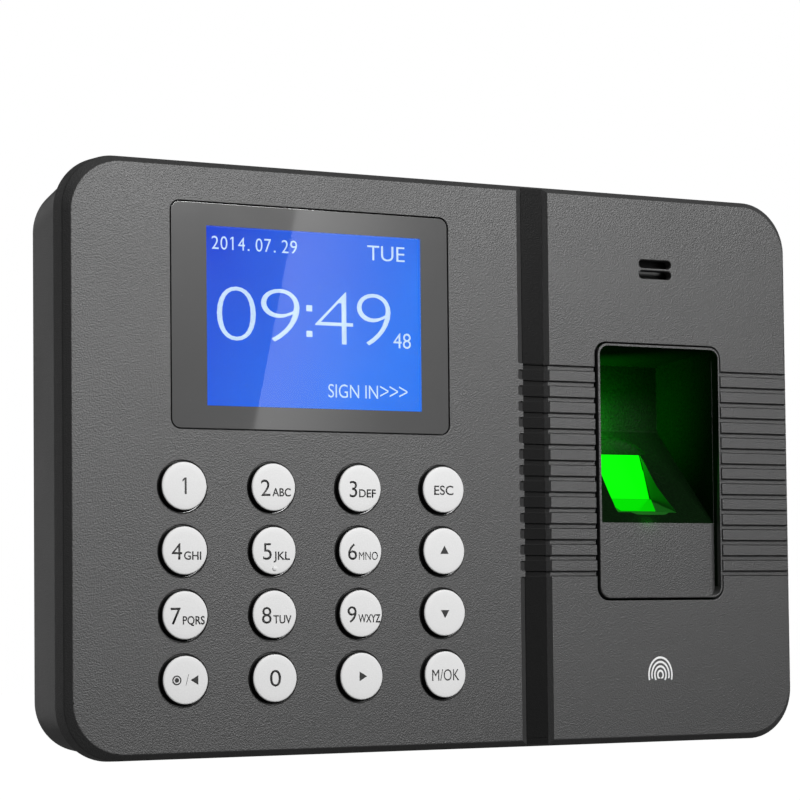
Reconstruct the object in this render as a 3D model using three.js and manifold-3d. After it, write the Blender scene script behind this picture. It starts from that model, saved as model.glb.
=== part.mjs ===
// Fingerprint scanner terminal: wall plate, hooked-on case, display, keypad and optical finger scanner.
// Units are millimetres, +X to the right seen from the front, +Y towards the wall, +Z up.
// The origin is the centre of the wall plate's back face.
import * as THREE from 'three';
import { mergeVertices } from 'three/addons/utils/BufferGeometryUtils.js';
import Module from 'manifold-3d';

const wasm = await Module();
wasm.setup();

// ---------- driving dimensions ----------
const FACE_Y = -33;            // front face plane; depths below are measured from it towards the wall
const FACE_W = 202.04, FACE_H = 140.18, FACE_R = 11.6;
const CHAMFER_IN = 1.55, CHAMFER_D = 1.97;
const SIDE_D = 7.46;           // depth where the cover's side wall ends
const SKIN = 2.5;              // cover thickness
const GAP = 0.3;               // clearance between separate pieces
const REAR_D = 30.65, REAR_WALL = 2;
const REAR_FRONT = { l: -101.9, r: 101.9, t: 71.0, b: -71.0 };
const REAR_BACK = { l: -100.26, r: 100.26, t: 68.53, b: -70.46 };
const KEY = { x: -73.41, z: -6.79, dx: 23.18, dz: 15.35, r: 5.68, proud: 1.5, travel: 1 };
const KEY_NAMES = ['1', '2', '3', 'esc', '4', '5', '6', 'up', '7', '8', '9', 'down', 'left', '0', 'right', 'ok'];
const LENS = { x0: -76.14, x1: -1.08, z0: 6.89, z1: 61.82, r: 2.5 };
const LCD = { x0: -66.65, x1: -9.05, z0: 12.78, z1: 55.98 };
const CHANNEL = { x0: 18.75, x1: 28.3, floor0: 20.8, floor1: 27.0, tooth: 20.15, d: 1.3 };
const RIB = { top: 25.81, pitch: 4.065, grooves: 14, groove: 1.54, d: 0.8, sunk: 0.45 };
const SLOT = { x: 60.4, z: [53.3, 50.5], w: 9.85, h: 2.25 };
const RIM = { x0: 42.1, x1: 79.8, z0: -34.2, z1: 31.95, r: 3, wall: 0.85, proud: 0.6 };
const WELL = { back: 26, backTop: 29.2, backBottom: 11.2, shelf: 2.4, edge: -14.5, side: 76.9 };
const PLATEN = { x: 60.6, w: 12.6, d0: 15.2, z0: -7.6, d1: 19.4, z1: 3.9, mouthW: 17.4 };
const HOOK = { x: 66, z: [46, -52], w: 10, rise: 7, travel: 8 };
const SCREW_XZ = [[-92, 59], [0, 62.5], [92, 59], [-92, -61], [0, -63], [92, -61]];
const BOARD = { x0: -87, x1: 14, z0: -58, z1: 58, d: 9, t: 1.6 };
const BOARD_SCREWS = [[-83, 54], [10, 54], [-83, -54], [10, -54]];

// ---------- helpers ----------
const Y = d => FACE_Y + d;

function solid(geometry) {
  const g = geometry.clone();
  g.deleteAttribute('normal');
  g.deleteAttribute('uv');
  const m = mergeVertices(g, 1e-5);
  return new wasm.Manifold(new wasm.Mesh({
    numProp: 3,
    vertProperties: new Float32Array(m.attributes.position.array),
    triVerts: new Uint32Array(m.index.array),
  }));
}

function mesh(name, body, colour, roughness = 0.6, metalness = 0) {
  const out = body.getMesh();
  const flat = new THREE.BufferGeometry();
  const stride = out.numProp;
  const pos = new Float32Array((out.vertProperties.length / stride) * 3);
  for (let i = 0; i < pos.length / 3; i++) {
    for (let k = 0; k < 3; k++) pos[i * 3 + k] = out.vertProperties[i * stride + k];
  }
  flat.setAttribute('position', new THREE.BufferAttribute(pos, 3));
  flat.setIndex(new THREE.BufferAttribute(new Uint32Array(out.triVerts), 1));
  flat.computeVertexNormals();
  const part = new THREE.Mesh(flat, new THREE.MeshStandardMaterial({ color: colour, roughness, metalness }));
  part.name = name;
  return part;
}

// Points of a rounded rectangle in the X-Z plane, anticlockwise seen from the front.
function roundRect(x0, x1, z0, z1, r, n = 6) {
  const pts = [];
  for (const [cx, cz, a] of [[x1 - r, z1 - r, 0], [x0 + r, z1 - r, 90], [x0 + r, z0 + r, 180], [x1 - r, z0 + r, 270]]) {
    for (let i = 0; i <= n; i++) {
      const t = THREE.MathUtils.degToRad(a + 90 * i / n);
      pts.push([cx + r * Math.cos(t), cz + r * Math.sin(t)]);
    }
  }
  return pts;
}

// Convex solid through rounded outlines, each [outline, depth].
const loft = layers => wasm.Manifold.hull(layers.flatMap(([pts, d]) => pts.map(([x, z]) => [x, Y(d), z])));

// Convex prism along depth.
const plate = (pts, d0, d1) => loft([[pts, d0], [pts, d1]]);

const box = (x0, x1, d0, d1, z0, z1) => solid(new THREE.BoxGeometry(x1 - x0, d1 - d0, z1 - z0)
  .translate((x0 + x1) / 2, Y((d0 + d1) / 2), (z0 + z1) / 2));

// Round bar along depth, radius r0 at d0 and r1 at d1.
const bar = (x, z, d0, d1, r0, r1 = r0, n = 24) => solid(new THREE.CylinderGeometry(r1, r0, d1 - d0, n)
  .translate(x, Y((d0 + d1) / 2), z));

// Prism along X from a (depth, z) outline.
function sideProfile(points, x0, x1) {
  const shape = new THREE.Shape(points.map(([d, z]) => new THREE.Vector2(Y(d), z)));
  const g = new THREE.ExtrudeGeometry(shape, { depth: x1 - x0, bevelEnabled: false });
  const m = new THREE.Matrix4().makeBasis(
    new THREE.Vector3(0, 1, 0), new THREE.Vector3(0, 0, 1), new THREE.Vector3(1, 0, 0));
  return solid(g.applyMatrix4(m).translate(x0, 0, 0));
}

// Round cable through the given [x, depth, z] points.
function cable(points, r, steps = 24, sides = 8) {
  const curve = new THREE.CatmullRomCurve3(points.map(([x, d, z]) => new THREE.Vector3(x, Y(d), z)));
  const ring = new THREE.Shape();
  ring.absarc(0, 0, r, 0, Math.PI * 2);
  return solid(new THREE.ExtrudeGeometry(ring, { steps, extrudePath: curve, curveSegments: sides / 2, bevelEnabled: false }));
}

const part = new THREE.Group();
part.name = 'fingerprint_terminal';
const add = (name, body, colour, roughness, metalness) => part.add(mesh(name, body, colour, roughness, metalness));

// ---------- front cover ----------
const hx = FACE_W / 2, hz = FACE_H / 2;
const ox = hx + CHAMFER_IN, oz = hz + CHAMFER_IN;
const face = roundRect(-hx, hx, -hz, hz, FACE_R);
const shoulder = roundRect(-ox, ox, -oz, oz, FACE_R + CHAMFER_IN);
const skirt = roundRect(-ox - 0.29, ox + 0.29, -oz - 0.29, oz + 0.29, FACE_R + CHAMFER_IN + 0.29);
const inside = roundRect(-ox + 2.2, ox - 2.2, -oz + 2.2, oz - 2.2, FACE_R - 0.65);
let cover = loft([[face, 0], [shoulder, CHAMFER_D], [skirt, SIDE_D]]).subtract(plate(inside, SKIN, SIDE_D + 1));

// Vertical channel with sloped sides. The grooves cross its floor and right slope, and leave teeth on its left side.
const upright = (points, z0, z1) => solid(new THREE.ExtrudeGeometry(
  new THREE.Shape(points.map(([x, d]) => new THREE.Vector2(x, Y(d)))), { depth: z1 - z0, bevelEnabled: false }).translate(0, 0, z0));
const { x0: cx0, x1: cx1, floor0, floor1, tooth } = CHANNEL;
cover = cover.subtract(upright([[tooth, -0.5], [tooth, 0], [floor0, CHANNEL.d], [floor1, CHANNEL.d], [cx1, 0], [cx1, -0.5]], -80, 80));
const bandTop = RIB.top, bandBottom = RIB.top - RIB.pitch * (RIB.grooves - 1) - RIB.groove;
const leftSlope = (z0, z1) => upright([[cx0, -0.5], [cx0, 0], [floor0, CHANNEL.d - 0.01], [floor0 + 1, CHANNEL.d - 0.01], [floor0 + 1, -0.5]], z0, z1);
cover = cover.subtract(leftSlope(bandTop, 80)).subtract(leftSlope(-80, bandBottom));
for (let i = 0; i < RIB.grooves; i++) {
  const top = RIB.top - RIB.pitch * i;
  if (i < RIB.grooves - 1) cover = cover.subtract(leftSlope(top - RIB.pitch, top - RIB.groove));
  cover = cover.subtract(upright([[floor0 + 0.06, -1], [floor0 + 0.06, CHANNEL.d + RIB.sunk], [floor1 + 0.15, CHANNEL.d + RIB.sunk],
    [cx1 - 0.1, RIB.d], [RIM.x0 - 1.2, RIB.d], [RIM.x0 - 1.2, -1]], top - RIB.groove, top));
  cover = cover.subtract(box(RIM.x1 + 1.2, ox + 1, -1, RIB.d, top - RIB.groove, top));
}

// Openings: display pocket, keys, finger well and speaker slots.
cover = cover.subtract(plate(roundRect(LENS.x0, LENS.x1, LENS.z0, LENS.z1, LENS.r), -1, 1.9));
cover = cover.subtract(plate(roundRect(LCD.x0 - 3.2, LCD.x1 + 3.2, LCD.z0 - 3.2, LCD.z1 + 3.2, 1), 1, 4));
const keyPlaces = KEY_NAMES.map((name, i) => ({ name, x: KEY.x + KEY.dx * (i % 4), z: KEY.z - KEY.dz * Math.floor(i / 4) }));
for (const k of keyPlaces) cover = cover.subtract(bar(k.x, k.z, -1, 4, KEY.r + GAP, KEY.r + GAP, 16));
cover = cover.subtract(plate(roundRect(RIM.x0 - 0.6, RIM.x1 + 0.6, RIM.z0 - 0.6, RIM.z1 + 0.6, RIM.r + 0.6), -1, 4));
for (const z of SLOT.z) {
  cover = cover.subtract(plate(roundRect(SLOT.x - SLOT.w / 2, SLOT.x + SLOT.w / 2, z - SLOT.h / 2, z + SLOT.h / 2, SLOT.h / 2 - 0.01), -1, 4));
}

// Bosses for the case screws and the board screws.
for (const [x, z] of SCREW_XZ) {
  cover = cover.add(bar(x, z, SKIN - 0.2, 24, 3.1, 3.1, 14)).subtract(bar(x, z, 12, 25, 1.45, 1.45, 12));
}
for (const [x, z] of BOARD_SCREWS) {
  cover = cover.add(bar(x, z, SKIN - 0.2, BOARD.d - GAP, 2.6, 2.6, 14)).subtract(bar(x, z, 4, 10, 1.35, 1.35, 12));
}
add('front_cover', cover, 0x6a6a6a, 0.55);

// Dark trim lying on the channel's floor, above and below the ribs.
const strip = (z0, z1) => box(CHANNEL.floor0 + GAP, CHANNEL.floor1 - GAP, CHANNEL.d - 0.62, CHANNEL.d - 0.02, z0, z1);
add('channel_strip_upper', strip(bandTop + 0.4, hz - 0.5), 0x1c1c1c, 0.5);
add('channel_strip_lower', strip(-hz + 0.5, bandBottom - 0.4), 0x1c1c1c, 0.5);

// ---------- rear housing ----------
const rr = ({ l, r, t, b }, inset, radius) => roundRect(l + inset, r - inset, b + inset, t - inset, radius);
let rear = loft([[rr(REAR_FRONT, 0, 12.6), SIDE_D + GAP], [rr(REAR_BACK, 0, 12.6), REAR_D - 1], [rr(REAR_BACK, 1, 11.6), REAR_D]])
  .subtract(loft([[rr(REAR_FRONT, REAR_WALL, 10.6), SIDE_D], [rr(REAR_BACK, REAR_WALL, 10.6), REAR_D - REAR_WALL]]));
// Tongue that reaches inside the cover's wall.
const lip = k => roundRect(-ox + k, ox - k, -oz + k, oz - k, FACE_R - 1);
rear = rear.add(plate(lip(2.5), 5.2, 8.5).add(plate(lip(1.8), SIDE_D + GAP, 10)).subtract(plate(lip(4.1), 5, 11)));
for (const [x, z] of SCREW_XZ) {
  rear = rear.add(bar(x, z, 24.3, REAR_D - REAR_WALL + 0.2, 3.4, 3.4, 14)).subtract(bar(x, z, 24, REAR_D + 1, 1.5, 1.5, 12))
    .subtract(bar(x, z, 26.2, REAR_D + 1, 2.7, 2.7, 16));
}
for (const x of [-HOOK.x, HOOK.x]) {
  for (const z of HOOK.z) {
    rear = rear.subtract(box(x - HOOK.w / 2 - GAP, x + HOOK.w / 2 + GAP, 26, REAR_D + 1, z - HOOK.travel - 0.6, z + 1.5 + GAP));
  }
}
const USB = { x: -44, w: 14.2, d0: 11.4, d1: 17.6 }, JACK = { x: -14, r: 4.4, d: 16 };
rear = rear.subtract(box(USB.x - USB.w / 2 - GAP, USB.x + USB.w / 2 + GAP, USB.d0 - GAP, USB.d1 + GAP, -75, -66));
rear = rear.subtract(solid(new THREE.CylinderGeometry(JACK.r + GAP, JACK.r + GAP, 10, 24).rotateX(Math.PI / 2).translate(JACK.x, Y(JACK.d), -70)));
add('rear_housing', rear, 0x808080, 0.45);

// ---------- display ----------
add('display_window', plate(roundRect(LENS.x0 + GAP, LENS.x1 - GAP, LENS.z0 + GAP, LENS.z1 - GAP, LENS.r - GAP), 0.15, 1.6), 0x5c5f66, 0.1);
add('lcd_panel', plate(roundRect(LCD.x0 - 2.4, LCD.x1 + 2.4, LCD.z0 - 2.4, LCD.z1 + 2.4, 0.6, 2), 2, 3.4), 0x2858e0, 0.3);
add('lcd_frame', box(LCD.x0 - 4.5, LCD.x1 + 4.5, 3.7, 6.7, LCD.z0 - 4.2, LCD.z1 + 4.2), 0xb8bbbe, 0.35, 0.9);
add('lcd_ribbon', sideProfile([[4.8, 60.5], [5.0, 60.5], [5.0, 63.6], [8.0, 63.6], [8.0, 61.0], [8.7, 61.0], [8.7, 56.5], [8.9, 56.5],
  [8.9, 61.2], [8.2, 61.2], [8.2, 63.8], [4.8, 63.8]], -52, -30), 0xb87333, 0.4);

// ---------- keypad ----------
for (const k of keyPlaces) {
  const profile = [[0, -6], [KEY.r + 1, -6], [KEY.r + 1, -SKIN - GAP], [KEY.r, -SKIN - GAP], [KEY.r, KEY.proud - 0.6],
    [KEY.r - 0.8, KEY.proud], [0, KEY.proud + 0.1]];
  const g = new THREE.LatheGeometry(profile.map(([r, h]) => new THREE.Vector2(r, h)), 16);
  g.rotateX(Math.PI).translate(k.x, FACE_Y, k.z);
  add(`key_${k.name}`, solid(g), 0xe4e4e4, 0.4);
}
let mat = box(KEY.x - 9.5, KEY.x + 3 * KEY.dx + 9.5, 7.9, 8.7, KEY.z - 3 * KEY.dz - 7, KEY.z + 7);
for (const k of keyPlaces) mat = mat.add(bar(k.x, k.z, 7.3, 8, 2.6, 3.4, 10));
for (const [x, z] of BOARD_SCREWS) mat = mat.subtract(bar(x, z, 7, 10, 2.9, 2.9, 12));
add('keypad_mat', mat, 0x9a9a9a, 0.8);

// ---------- main board ----------
let board = box(BOARD.x0, BOARD.x1, BOARD.d, BOARD.d + BOARD.t, BOARD.z0, BOARD.z1);
for (const [x, z] of BOARD_SCREWS) board = board.subtract(bar(x, z, 8, 12, 1.5, 1.5, 12));
add('main_board', board, 0x1d5c33, 0.5);
const back = BOARD.d + BOARD.t + 0.02;
add('main_chip', box(-36, -20, back, back + 1.4, 4, 20), 0x1a1a1a, 0.5);
add('memory_chip', box(-12, -2, back, back + 1, 6, 18), 0x1a1a1a, 0.5);
add('coin_cell_holder', bar(-62, 20, back, back + 4.4, 11.5).subtract(bar(-62, 20, back + 1.2, back + 5, 10.3)), 0x222222, 0.6);
add('coin_cell', bar(-62, 20, back + 1.3, back + 4.5, 10), 0xc8c8c8, 0.25, 1);
add('usb_socket', box(USB.x - 6.9, USB.x + 6.9, USB.d0, USB.d1, -69.6, -52).subtract(box(USB.x - 6.4, USB.x + 6.4, USB.d0 + 0.5, USB.d1 - 0.5, -71, -55))
  .add(box(USB.x - 5.6, USB.x + 5.6, USB.d0 + 0.9, USB.d0 + 2.3, -67.6, -54.5)), 0xb0b0b0, 0.3, 1);
const jackBody = box(JACK.x - 4.5, JACK.x + 4.5, back, 20.6, -67.2, -53)
  .subtract(solid(new THREE.CylinderGeometry(3, 3, 11, 20).rotateX(Math.PI / 2).translate(JACK.x, Y(JACK.d), -63.2)))
  .add(solid(new THREE.CylinderGeometry(1, 1, 12, 12).rotateX(Math.PI / 2).translate(JACK.x, Y(JACK.d), -60.4)));
add('dc_jack', jackBody, 0x151515, 0.5);

// ---------- finger scanner ----------
const rim = roundRect(RIM.x0, RIM.x1, RIM.z0, RIM.z1, RIM.r);
const rimIn = roundRect(RIM.x0 + RIM.wall, RIM.x1 - RIM.wall, RIM.z0 + RIM.wall, RIM.z1 - RIM.wall, RIM.r - 0.6);
const wellBack = roundRect(2 * 60.95 - WELL.side, WELL.side, -31.5, WELL.backTop, 1.6);
const cavityProfile = sideProfile([[-2, 36], [-2, -38], [WELL.shelf, -38], [WELL.shelf, WELL.edge], [WELL.back, WELL.backBottom],
  [WELL.back, 36]], 30, 90);
const cavity = loft([[rimIn, -2], [rimIn, 0.4], [wellBack, WELL.back]]).intersect(cavityProfile);
// Slope direction and the finger recess cut square to the platen.
const slopeAt = z => WELL.shelf + (z - WELL.edge) * (WELL.back - WELL.shelf) / (WELL.backBottom - WELL.edge);
const pHalf = PLATEN.w / 2, mHalf = PLATEN.mouthW / 2;
const tilt = Math.atan2(PLATEN.d1 - PLATEN.d0, PLATEN.z1 - PLATEN.z0);
const out = [-Math.cos(tilt) * 12, -Math.sin(tilt) * 12];
const recess = wasm.Manifold.hull([
  [-pHalf, PLATEN.d0, PLATEN.z0], [pHalf, PLATEN.d0, PLATEN.z0], [-pHalf, PLATEN.d1, PLATEN.z1], [pHalf, PLATEN.d1, PLATEN.z1],
  [-mHalf, PLATEN.d0 + out[0], PLATEN.z0 + out[1]], [mHalf, PLATEN.d0 + out[0], PLATEN.z0 + out[1]],
  [-mHalf, PLATEN.d1 + out[0], PLATEN.z1 - 1], [mHalf, PLATEN.d1 + out[0], PLATEN.z1 - 1],
].map(([x, d, z]) => [PLATEN.x + x, Y(d), z]));
// Rear pocket that leaves a wall behind the shelf and the slope.
const pocket = sideProfile([[WELL.shelf + 1.8, -32.4], [WELL.shelf + 1.8, slopeZ(WELL.shelf + 1.8) - 3], [WELL.back + 4, slopeZ(WELL.back + 4) - 3],
  [WELL.back + 4, -32.4]], RIM.x0 + 2.2, RIM.x1 - 2.2);
function slopeZ(d) { return WELL.edge + (d - WELL.shelf) * (WELL.backBottom - WELL.edge) / (WELL.back - WELL.shelf); }
let bezel = loft([[roundRect(RIM.x0 + 0.3, RIM.x1 - 0.3, RIM.z0 + 0.3, RIM.z1 - 0.3, RIM.r - 0.3), -RIM.proud], [rim, -RIM.proud + 0.3],
  [rim, 2], [roundRect(RIM.x0 + 0.6, RIM.x1 - 0.6, RIM.z0 + 0.6, RIM.z1 - 0.2, 2.4), 27.4]]);
bezel = bezel.add(plate(roundRect(RIM.x0 - 2.4, RIM.x1 + 2.4, RIM.z0 - 2.4, RIM.z1 + 2.4, 4), SKIN + GAP, SKIN + GAP + 1.4));
bezel = bezel.subtract(pocket).subtract(cavity);
const shell = wasm.Manifold.hull([
  [-mHalf - 1.4, PLATEN.d0 + 0.2, PLATEN.z0 - 1.4], [mHalf + 1.4, PLATEN.d0 + 0.2, PLATEN.z0 - 1.4],
  [-mHalf - 1.4, PLATEN.d1 + 0.2, PLATEN.z1 + 1.2], [mHalf + 1.4, PLATEN.d1 + 0.2, PLATEN.z1 + 1.2],
  [-mHalf - 1.4, slopeAt(-12.6) + 0.4, -13.4], [mHalf + 1.4, slopeAt(-12.6) + 0.4, -13.4],
].map(([x, d, z]) => [PLATEN.x + x, Y(d), z]));
bezel = bezel.add(shell).subtract(recess);

// Prism behind the recess, carried by the housing; its front face is the platen.
const px0 = PLATEN.x - 8.2, px1 = PLATEN.x + 8.2;
const off = 0.5;
const prism = sideProfile([[PLATEN.d0 + off, PLATEN.z0 - 0.2], [PLATEN.d0 + off + 0.2, PLATEN.z0 - 1.8], [19.2, -17], [24.3, -17],
  [26, -11], [26, -1], [21.2, PLATEN.z1 - 0.6], [PLATEN.d1 + off, PLATEN.z1 - 0.4]], px0, px1);
const clearance = wasm.Manifold.hull([-1, 1].flatMap(i => [-1, 1].flatMap(j => [-1, 1].map(k => prism.translate(i * GAP, j * GAP, k * GAP)))));
add('scanner_bezel', bezel.subtract(clearance), 0x23291f, 0.5);
add('scanner_prism', prism, 0x18ff20, 0.15);
const housing = box(50.4, 70.8, 8.6, 27.8, -31.6, -17.9).subtract(box(52, 69.2, 10.4, 26.4, -30, -12));
add('scanner_housing', housing, 0x1b1b1b, 0.6);
add('scanner_board', box(53, 68.2, 24.6, 26, -29.4, -18.6), 0x1d5c33, 0.5);
add('scanner_camera', bar(60.6, -24, 18.4, 24.5, 3.4, 3.4, 20), 0x202020, 0.4);
add('scanner_led_left', bar(55, -20.4, 20, 24.5, 1.1, 1.1, 12), 0xd8ffd8, 0.2);
add('scanner_led_right', bar(66.2, -20.4, 20, 24.5, 1.1, 1.1, 12), 0xd8ffd8, 0.2);
add('scanner_cable', cable([[50.1, 20, -40], [44, 21, -41], [32, 19, -38], [20, 14, -30], [10, 12.4, -28], [4, 12.4, -28]], 1.2), 0x333333, 0.6);

// ---------- speaker ----------
const sp = [SLOT.x, 51.2];
add('speaker_gasket', bar(...sp, SKIN + 0.02, 3.6, 15).subtract(bar(...sp, 2, 4, 12.5)), 0x2a2a2a, 0.9);
add('speaker', bar(...sp, 3.65, 8.4, 15).subtract(bar(...sp, 3, 4.6, 12.4, 9)).add(bar(...sp, 8.2, 12, 8.5)), 0x3a3a3a, 0.5, 0.4);
for (const [i, colour] of [[0, 0xb01818], [1, 0x141414]]) {
  add(i ? 'speaker_wire_black' : 'speaker_wire_red', cable([[45.1, 6 + i * 1.8, 48 - i], [38, 8 + i * 1.8, 46], [28, 12 + i * 1.2, 44 - i * 2],
    [16, 13, 42 - i * 2.4], [8, 11.6, 42 - i * 2.4]], 0.6), colour, 0.5);
}

// ---------- fasteners ----------
const screw = (x, z, d0, d1, r, rh, hh) => bar(x, z, d0, d1, r, r, 10).add(bar(x, z, d1 - 0.01, d1 + hh, rh, rh, 16))
  .subtract(box(x - rh * 0.6, x + rh * 0.6, d1 + hh * 0.5, d1 + hh + 1, z - 0.3, z + 0.3))
  .subtract(box(x - 0.3, x + 0.3, d1 + hh * 0.5, d1 + hh + 1, z - rh * 0.6, z + rh * 0.6));
SCREW_XZ.forEach(([x, z], i) => add(`case_screw_${i + 1}`, screw(x, z, 14, 26.22, 1.1, 2.4, 1.8), 0x2b2b2b, 0.35, 1));
BOARD_SCREWS.forEach(([x, z], i) => add(`board_screw_${i + 1}`, screw(x, z, 5, 10.62, 1, 2.2, 1.4), 0x9a9a9a, 0.3, 1));

// ---------- wall plate ----------
let plateBody = wasm.Manifold.hull(roundRect(-84, 84, -60, 60, 5).flatMap(([x, z]) => [[x, -1.5, z], [x, 0, z]]));
for (const [x, z] of [[-60, 20], [60, 20], [-60, -20], [60, -20]]) {
  const hole = new THREE.CylinderGeometry(2.3, 2.3, 4, 20).translate(x, -0.75, z);
  plateBody = plateBody.subtract(solid(hole));
}
plateBody = plateBody.subtract(solid(new THREE.BoxGeometry(18, 4, 14).translate(0, -0.75, -32)));
for (const x of [-HOOK.x, HOOK.x]) {
  for (const z of HOOK.z) {
    plateBody = plateBody.add(box(x - HOOK.w / 2, x + HOOK.w / 2, 26.9, 31.6, z, z + 1.5))
      .add(box(x - HOOK.w / 2, x + HOOK.w / 2, 26.9, 28.2, z, z + HOOK.rise));
  }
}
add('wall_plate', plateBody, 0x9aa0a4, 0.35, 1);

export default part;
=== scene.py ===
"""Looks for the fingerprint scanner terminal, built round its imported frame."""

import math

import bmesh
import bpy
from bpy.props import FloatProperty, FloatVectorProperty, PointerProperty, StringProperty
from bpy.types import Operator, Panel, PropertyGroup
from mathutils import Matrix, Vector


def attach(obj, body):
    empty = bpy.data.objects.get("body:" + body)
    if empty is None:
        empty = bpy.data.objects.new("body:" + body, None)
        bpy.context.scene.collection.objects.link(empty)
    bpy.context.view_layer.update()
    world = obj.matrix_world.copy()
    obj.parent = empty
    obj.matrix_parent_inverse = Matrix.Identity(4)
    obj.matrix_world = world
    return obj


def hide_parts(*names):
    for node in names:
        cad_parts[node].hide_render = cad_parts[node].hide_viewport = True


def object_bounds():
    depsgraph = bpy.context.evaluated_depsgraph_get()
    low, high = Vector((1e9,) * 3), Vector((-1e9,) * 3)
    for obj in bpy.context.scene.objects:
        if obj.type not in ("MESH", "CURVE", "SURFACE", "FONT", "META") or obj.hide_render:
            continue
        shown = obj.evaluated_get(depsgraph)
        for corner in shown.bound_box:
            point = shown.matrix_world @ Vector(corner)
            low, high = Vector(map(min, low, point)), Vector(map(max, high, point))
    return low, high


bl_info = {
    "name": "Fingerprint terminal",
    "version": (1, 0, 0),
    "blender": (4, 5, 0),
    "location": "3D View > Sidebar > Terminal",
    "description": "Models the case, keys, display and finger scanner of a wall terminal",
    "category": "Object",
}

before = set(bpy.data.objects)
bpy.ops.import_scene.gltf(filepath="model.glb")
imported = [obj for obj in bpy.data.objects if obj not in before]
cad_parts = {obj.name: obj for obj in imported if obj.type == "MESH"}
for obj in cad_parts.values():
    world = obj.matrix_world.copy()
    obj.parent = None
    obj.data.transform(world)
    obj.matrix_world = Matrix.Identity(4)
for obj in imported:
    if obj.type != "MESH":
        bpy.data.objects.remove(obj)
CAD_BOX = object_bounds()

MM = 0.001
INK = 0.03            # thickness of printed figures
FACE = -33.0          # the front face; depths below are measured from it, towards the wall
FACE_W, FACE_H = 202.04, 140.18
CHAMFER_IN, CHAMFER_D = 1.55, 1.97
OUT_X, OUT_Z, OUT_R = FACE_W / 2 + CHAMFER_IN, FACE_H / 2 + CHAMFER_IN, 13.15
SIDE_D, SKIN, REAR_D = 7.46, 2.5, 30.65
KEY_X, KEY_Z, KEY_DX, KEY_DZ = -73.41, -6.79, 23.18, 15.35
LENS = (-76.14, -1.08, 6.89, 61.82)
LCD = (-66.65, -9.05, 12.78, 55.98)
CH = {"x0": 18.7, "tooth": 20.1, "floor0": 20.6, "floor1": 26.95, "x1": 28.0}
RIB_TOP, RIB_PITCH, RIB_COUNT, GROOVE = 25.81, 4.065, 14, 1.5
BAND_END = RIB_TOP - RIB_PITCH * (RIB_COUNT - 1) - GROOVE
HOLE_R, HOLE_LIP, HOLE_LIP_D, HOLE_LOW = 6.0, 0.5, 0.13, 0.12
RIM = (42.1, 79.8, -34.2, 31.95)
SHELF_D, SHELF_EDGE_Z, WELL_D, WELL_BACK_Z = 2.4, -14.5, 26.0, 11.2
PLATEN = {"x": 60.0, "half": 7.7, "top": 7.3, "mouth": 9.4, "d0": 15.2, "z0": -7.9, "d1": 20.0, "z1": 4.65}
RECESS_RUN, RECESS_FALL = 11.3, 4.13
HOOK_X, HOOK_Z = (-66, 66), (46, -52)
SCREWS = [(-92, 59), (0, 62.5), (92, 59), (-92, -61), (0, -63), (92, -61)]

KEYS = [
    ("1", "1", ""), ("2", "2", "ABC"), ("3", "3", "DEF"), ("esc", "ESC", ""),
    ("4", "4", "GHI"), ("5", "5", "JKL"), ("6", "6", "MNO"), ("up", "", ""),
    ("7", "7", "PQRS"), ("8", "8", "TUV"), ("9", "9", "WXYZ"), ("down", "", ""),
    ("left", "", ""), ("0", "0", ""), ("right", "", ""), ("ok", "M/OK", ""),
]

LETTERS_WIDE = {
    "ABC": 4.9, "DEF": 4.6, "GHI": 4.4, "JKL": 4.3, "MNO": 5.2, "PQRS": 5.6, "TUV": 4.8, "WXYZ": 6.0
}

# Lights: place, aim and size, in metres.
SOFTBOX = ((0.17, -0.78, 0.41), (0.0, -0.03, 0.02), (0.32, 0.22))
RIM_LIGHT = ((-0.22, 0.85, 0.1), (-0.1, 0, 0), (0.3, 0.7))
BACK_LIGHT = ((0.8, 1.0, 0.1), (0, 0, 0), (0.5, 0.5))
LAMP_GREEN = (0.04, 1.0, 0.05)

# Camera: yaw, pitch and roll in degrees, place in metres.
CAMERA_TURN = (26.851, -2.564, -0.582)
CAMERA_PLACE = (-0.30287, FACE * MM - 0.567912, -0.037945)
CAMERA_LENS, CAMERA_SHIFT = 115.566, 0.125


# ---------- settings ----------

def colour_setting(name, description, default):
    return FloatVectorProperty(
        name=name, description=description, subtype="COLOR", size=3, min=0, max=1, default=default
    )


def length_setting(name, description, default, low, high):
    return FloatProperty(
        name=name, description=description, unit="LENGTH", default=default, min=low, max=high
    )


def power_setting(name, description, default, high=500):
    return FloatProperty(name=name, description=description, unit="POWER", default=default, min=0, max=high)


class CaseSettings(PropertyGroup):
    cover_colour: colour_setting("Cover colour", "Colour of the moulded front cover", (0.022, 0.022, 0.0222))
    rear_colour: colour_setting("Rear colour", "Colour of the rear housing", (0.03, 0.03, 0.03))
    channel_colour: colour_setting(
        "Channel colour", "Colour of the dark trim in the channel", (0.008, 0.008, 0.008)
    )
    grain: length_setting("Grain", "Size of the moulded grain", 0.00034, 0.0001, 0.002)
    lip: length_setting("Lip", "Rounding of the openings' edges", 0.0003, 0.0001, 0.0008)
    channel_depth: length_setting("Channel depth", "Depth of the vertical channel", 0.0013, 0.0005, 0.0018)
    groove_depth: length_setting(
        "Groove depth", "Depth of the grooves between the ribs", 0.0008, 0.0003, 0.0012
    )


class KeySettings(PropertyGroup):
    radius: length_setting("Radius", "Radius of a key cap", 0.00575, 0.004, 0.00575)
    proud: length_setting("Proud", "How far a key stands out of the face", 0.0015, 0.0005, 0.003)
    cap_colour: colour_setting("Cap colour", "Colour of the key tops", (0.72, 0.72, 0.72))
    legend_colour: colour_setting("Legend colour", "Colour of the printed legends", (0.015, 0.015, 0.015))


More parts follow.
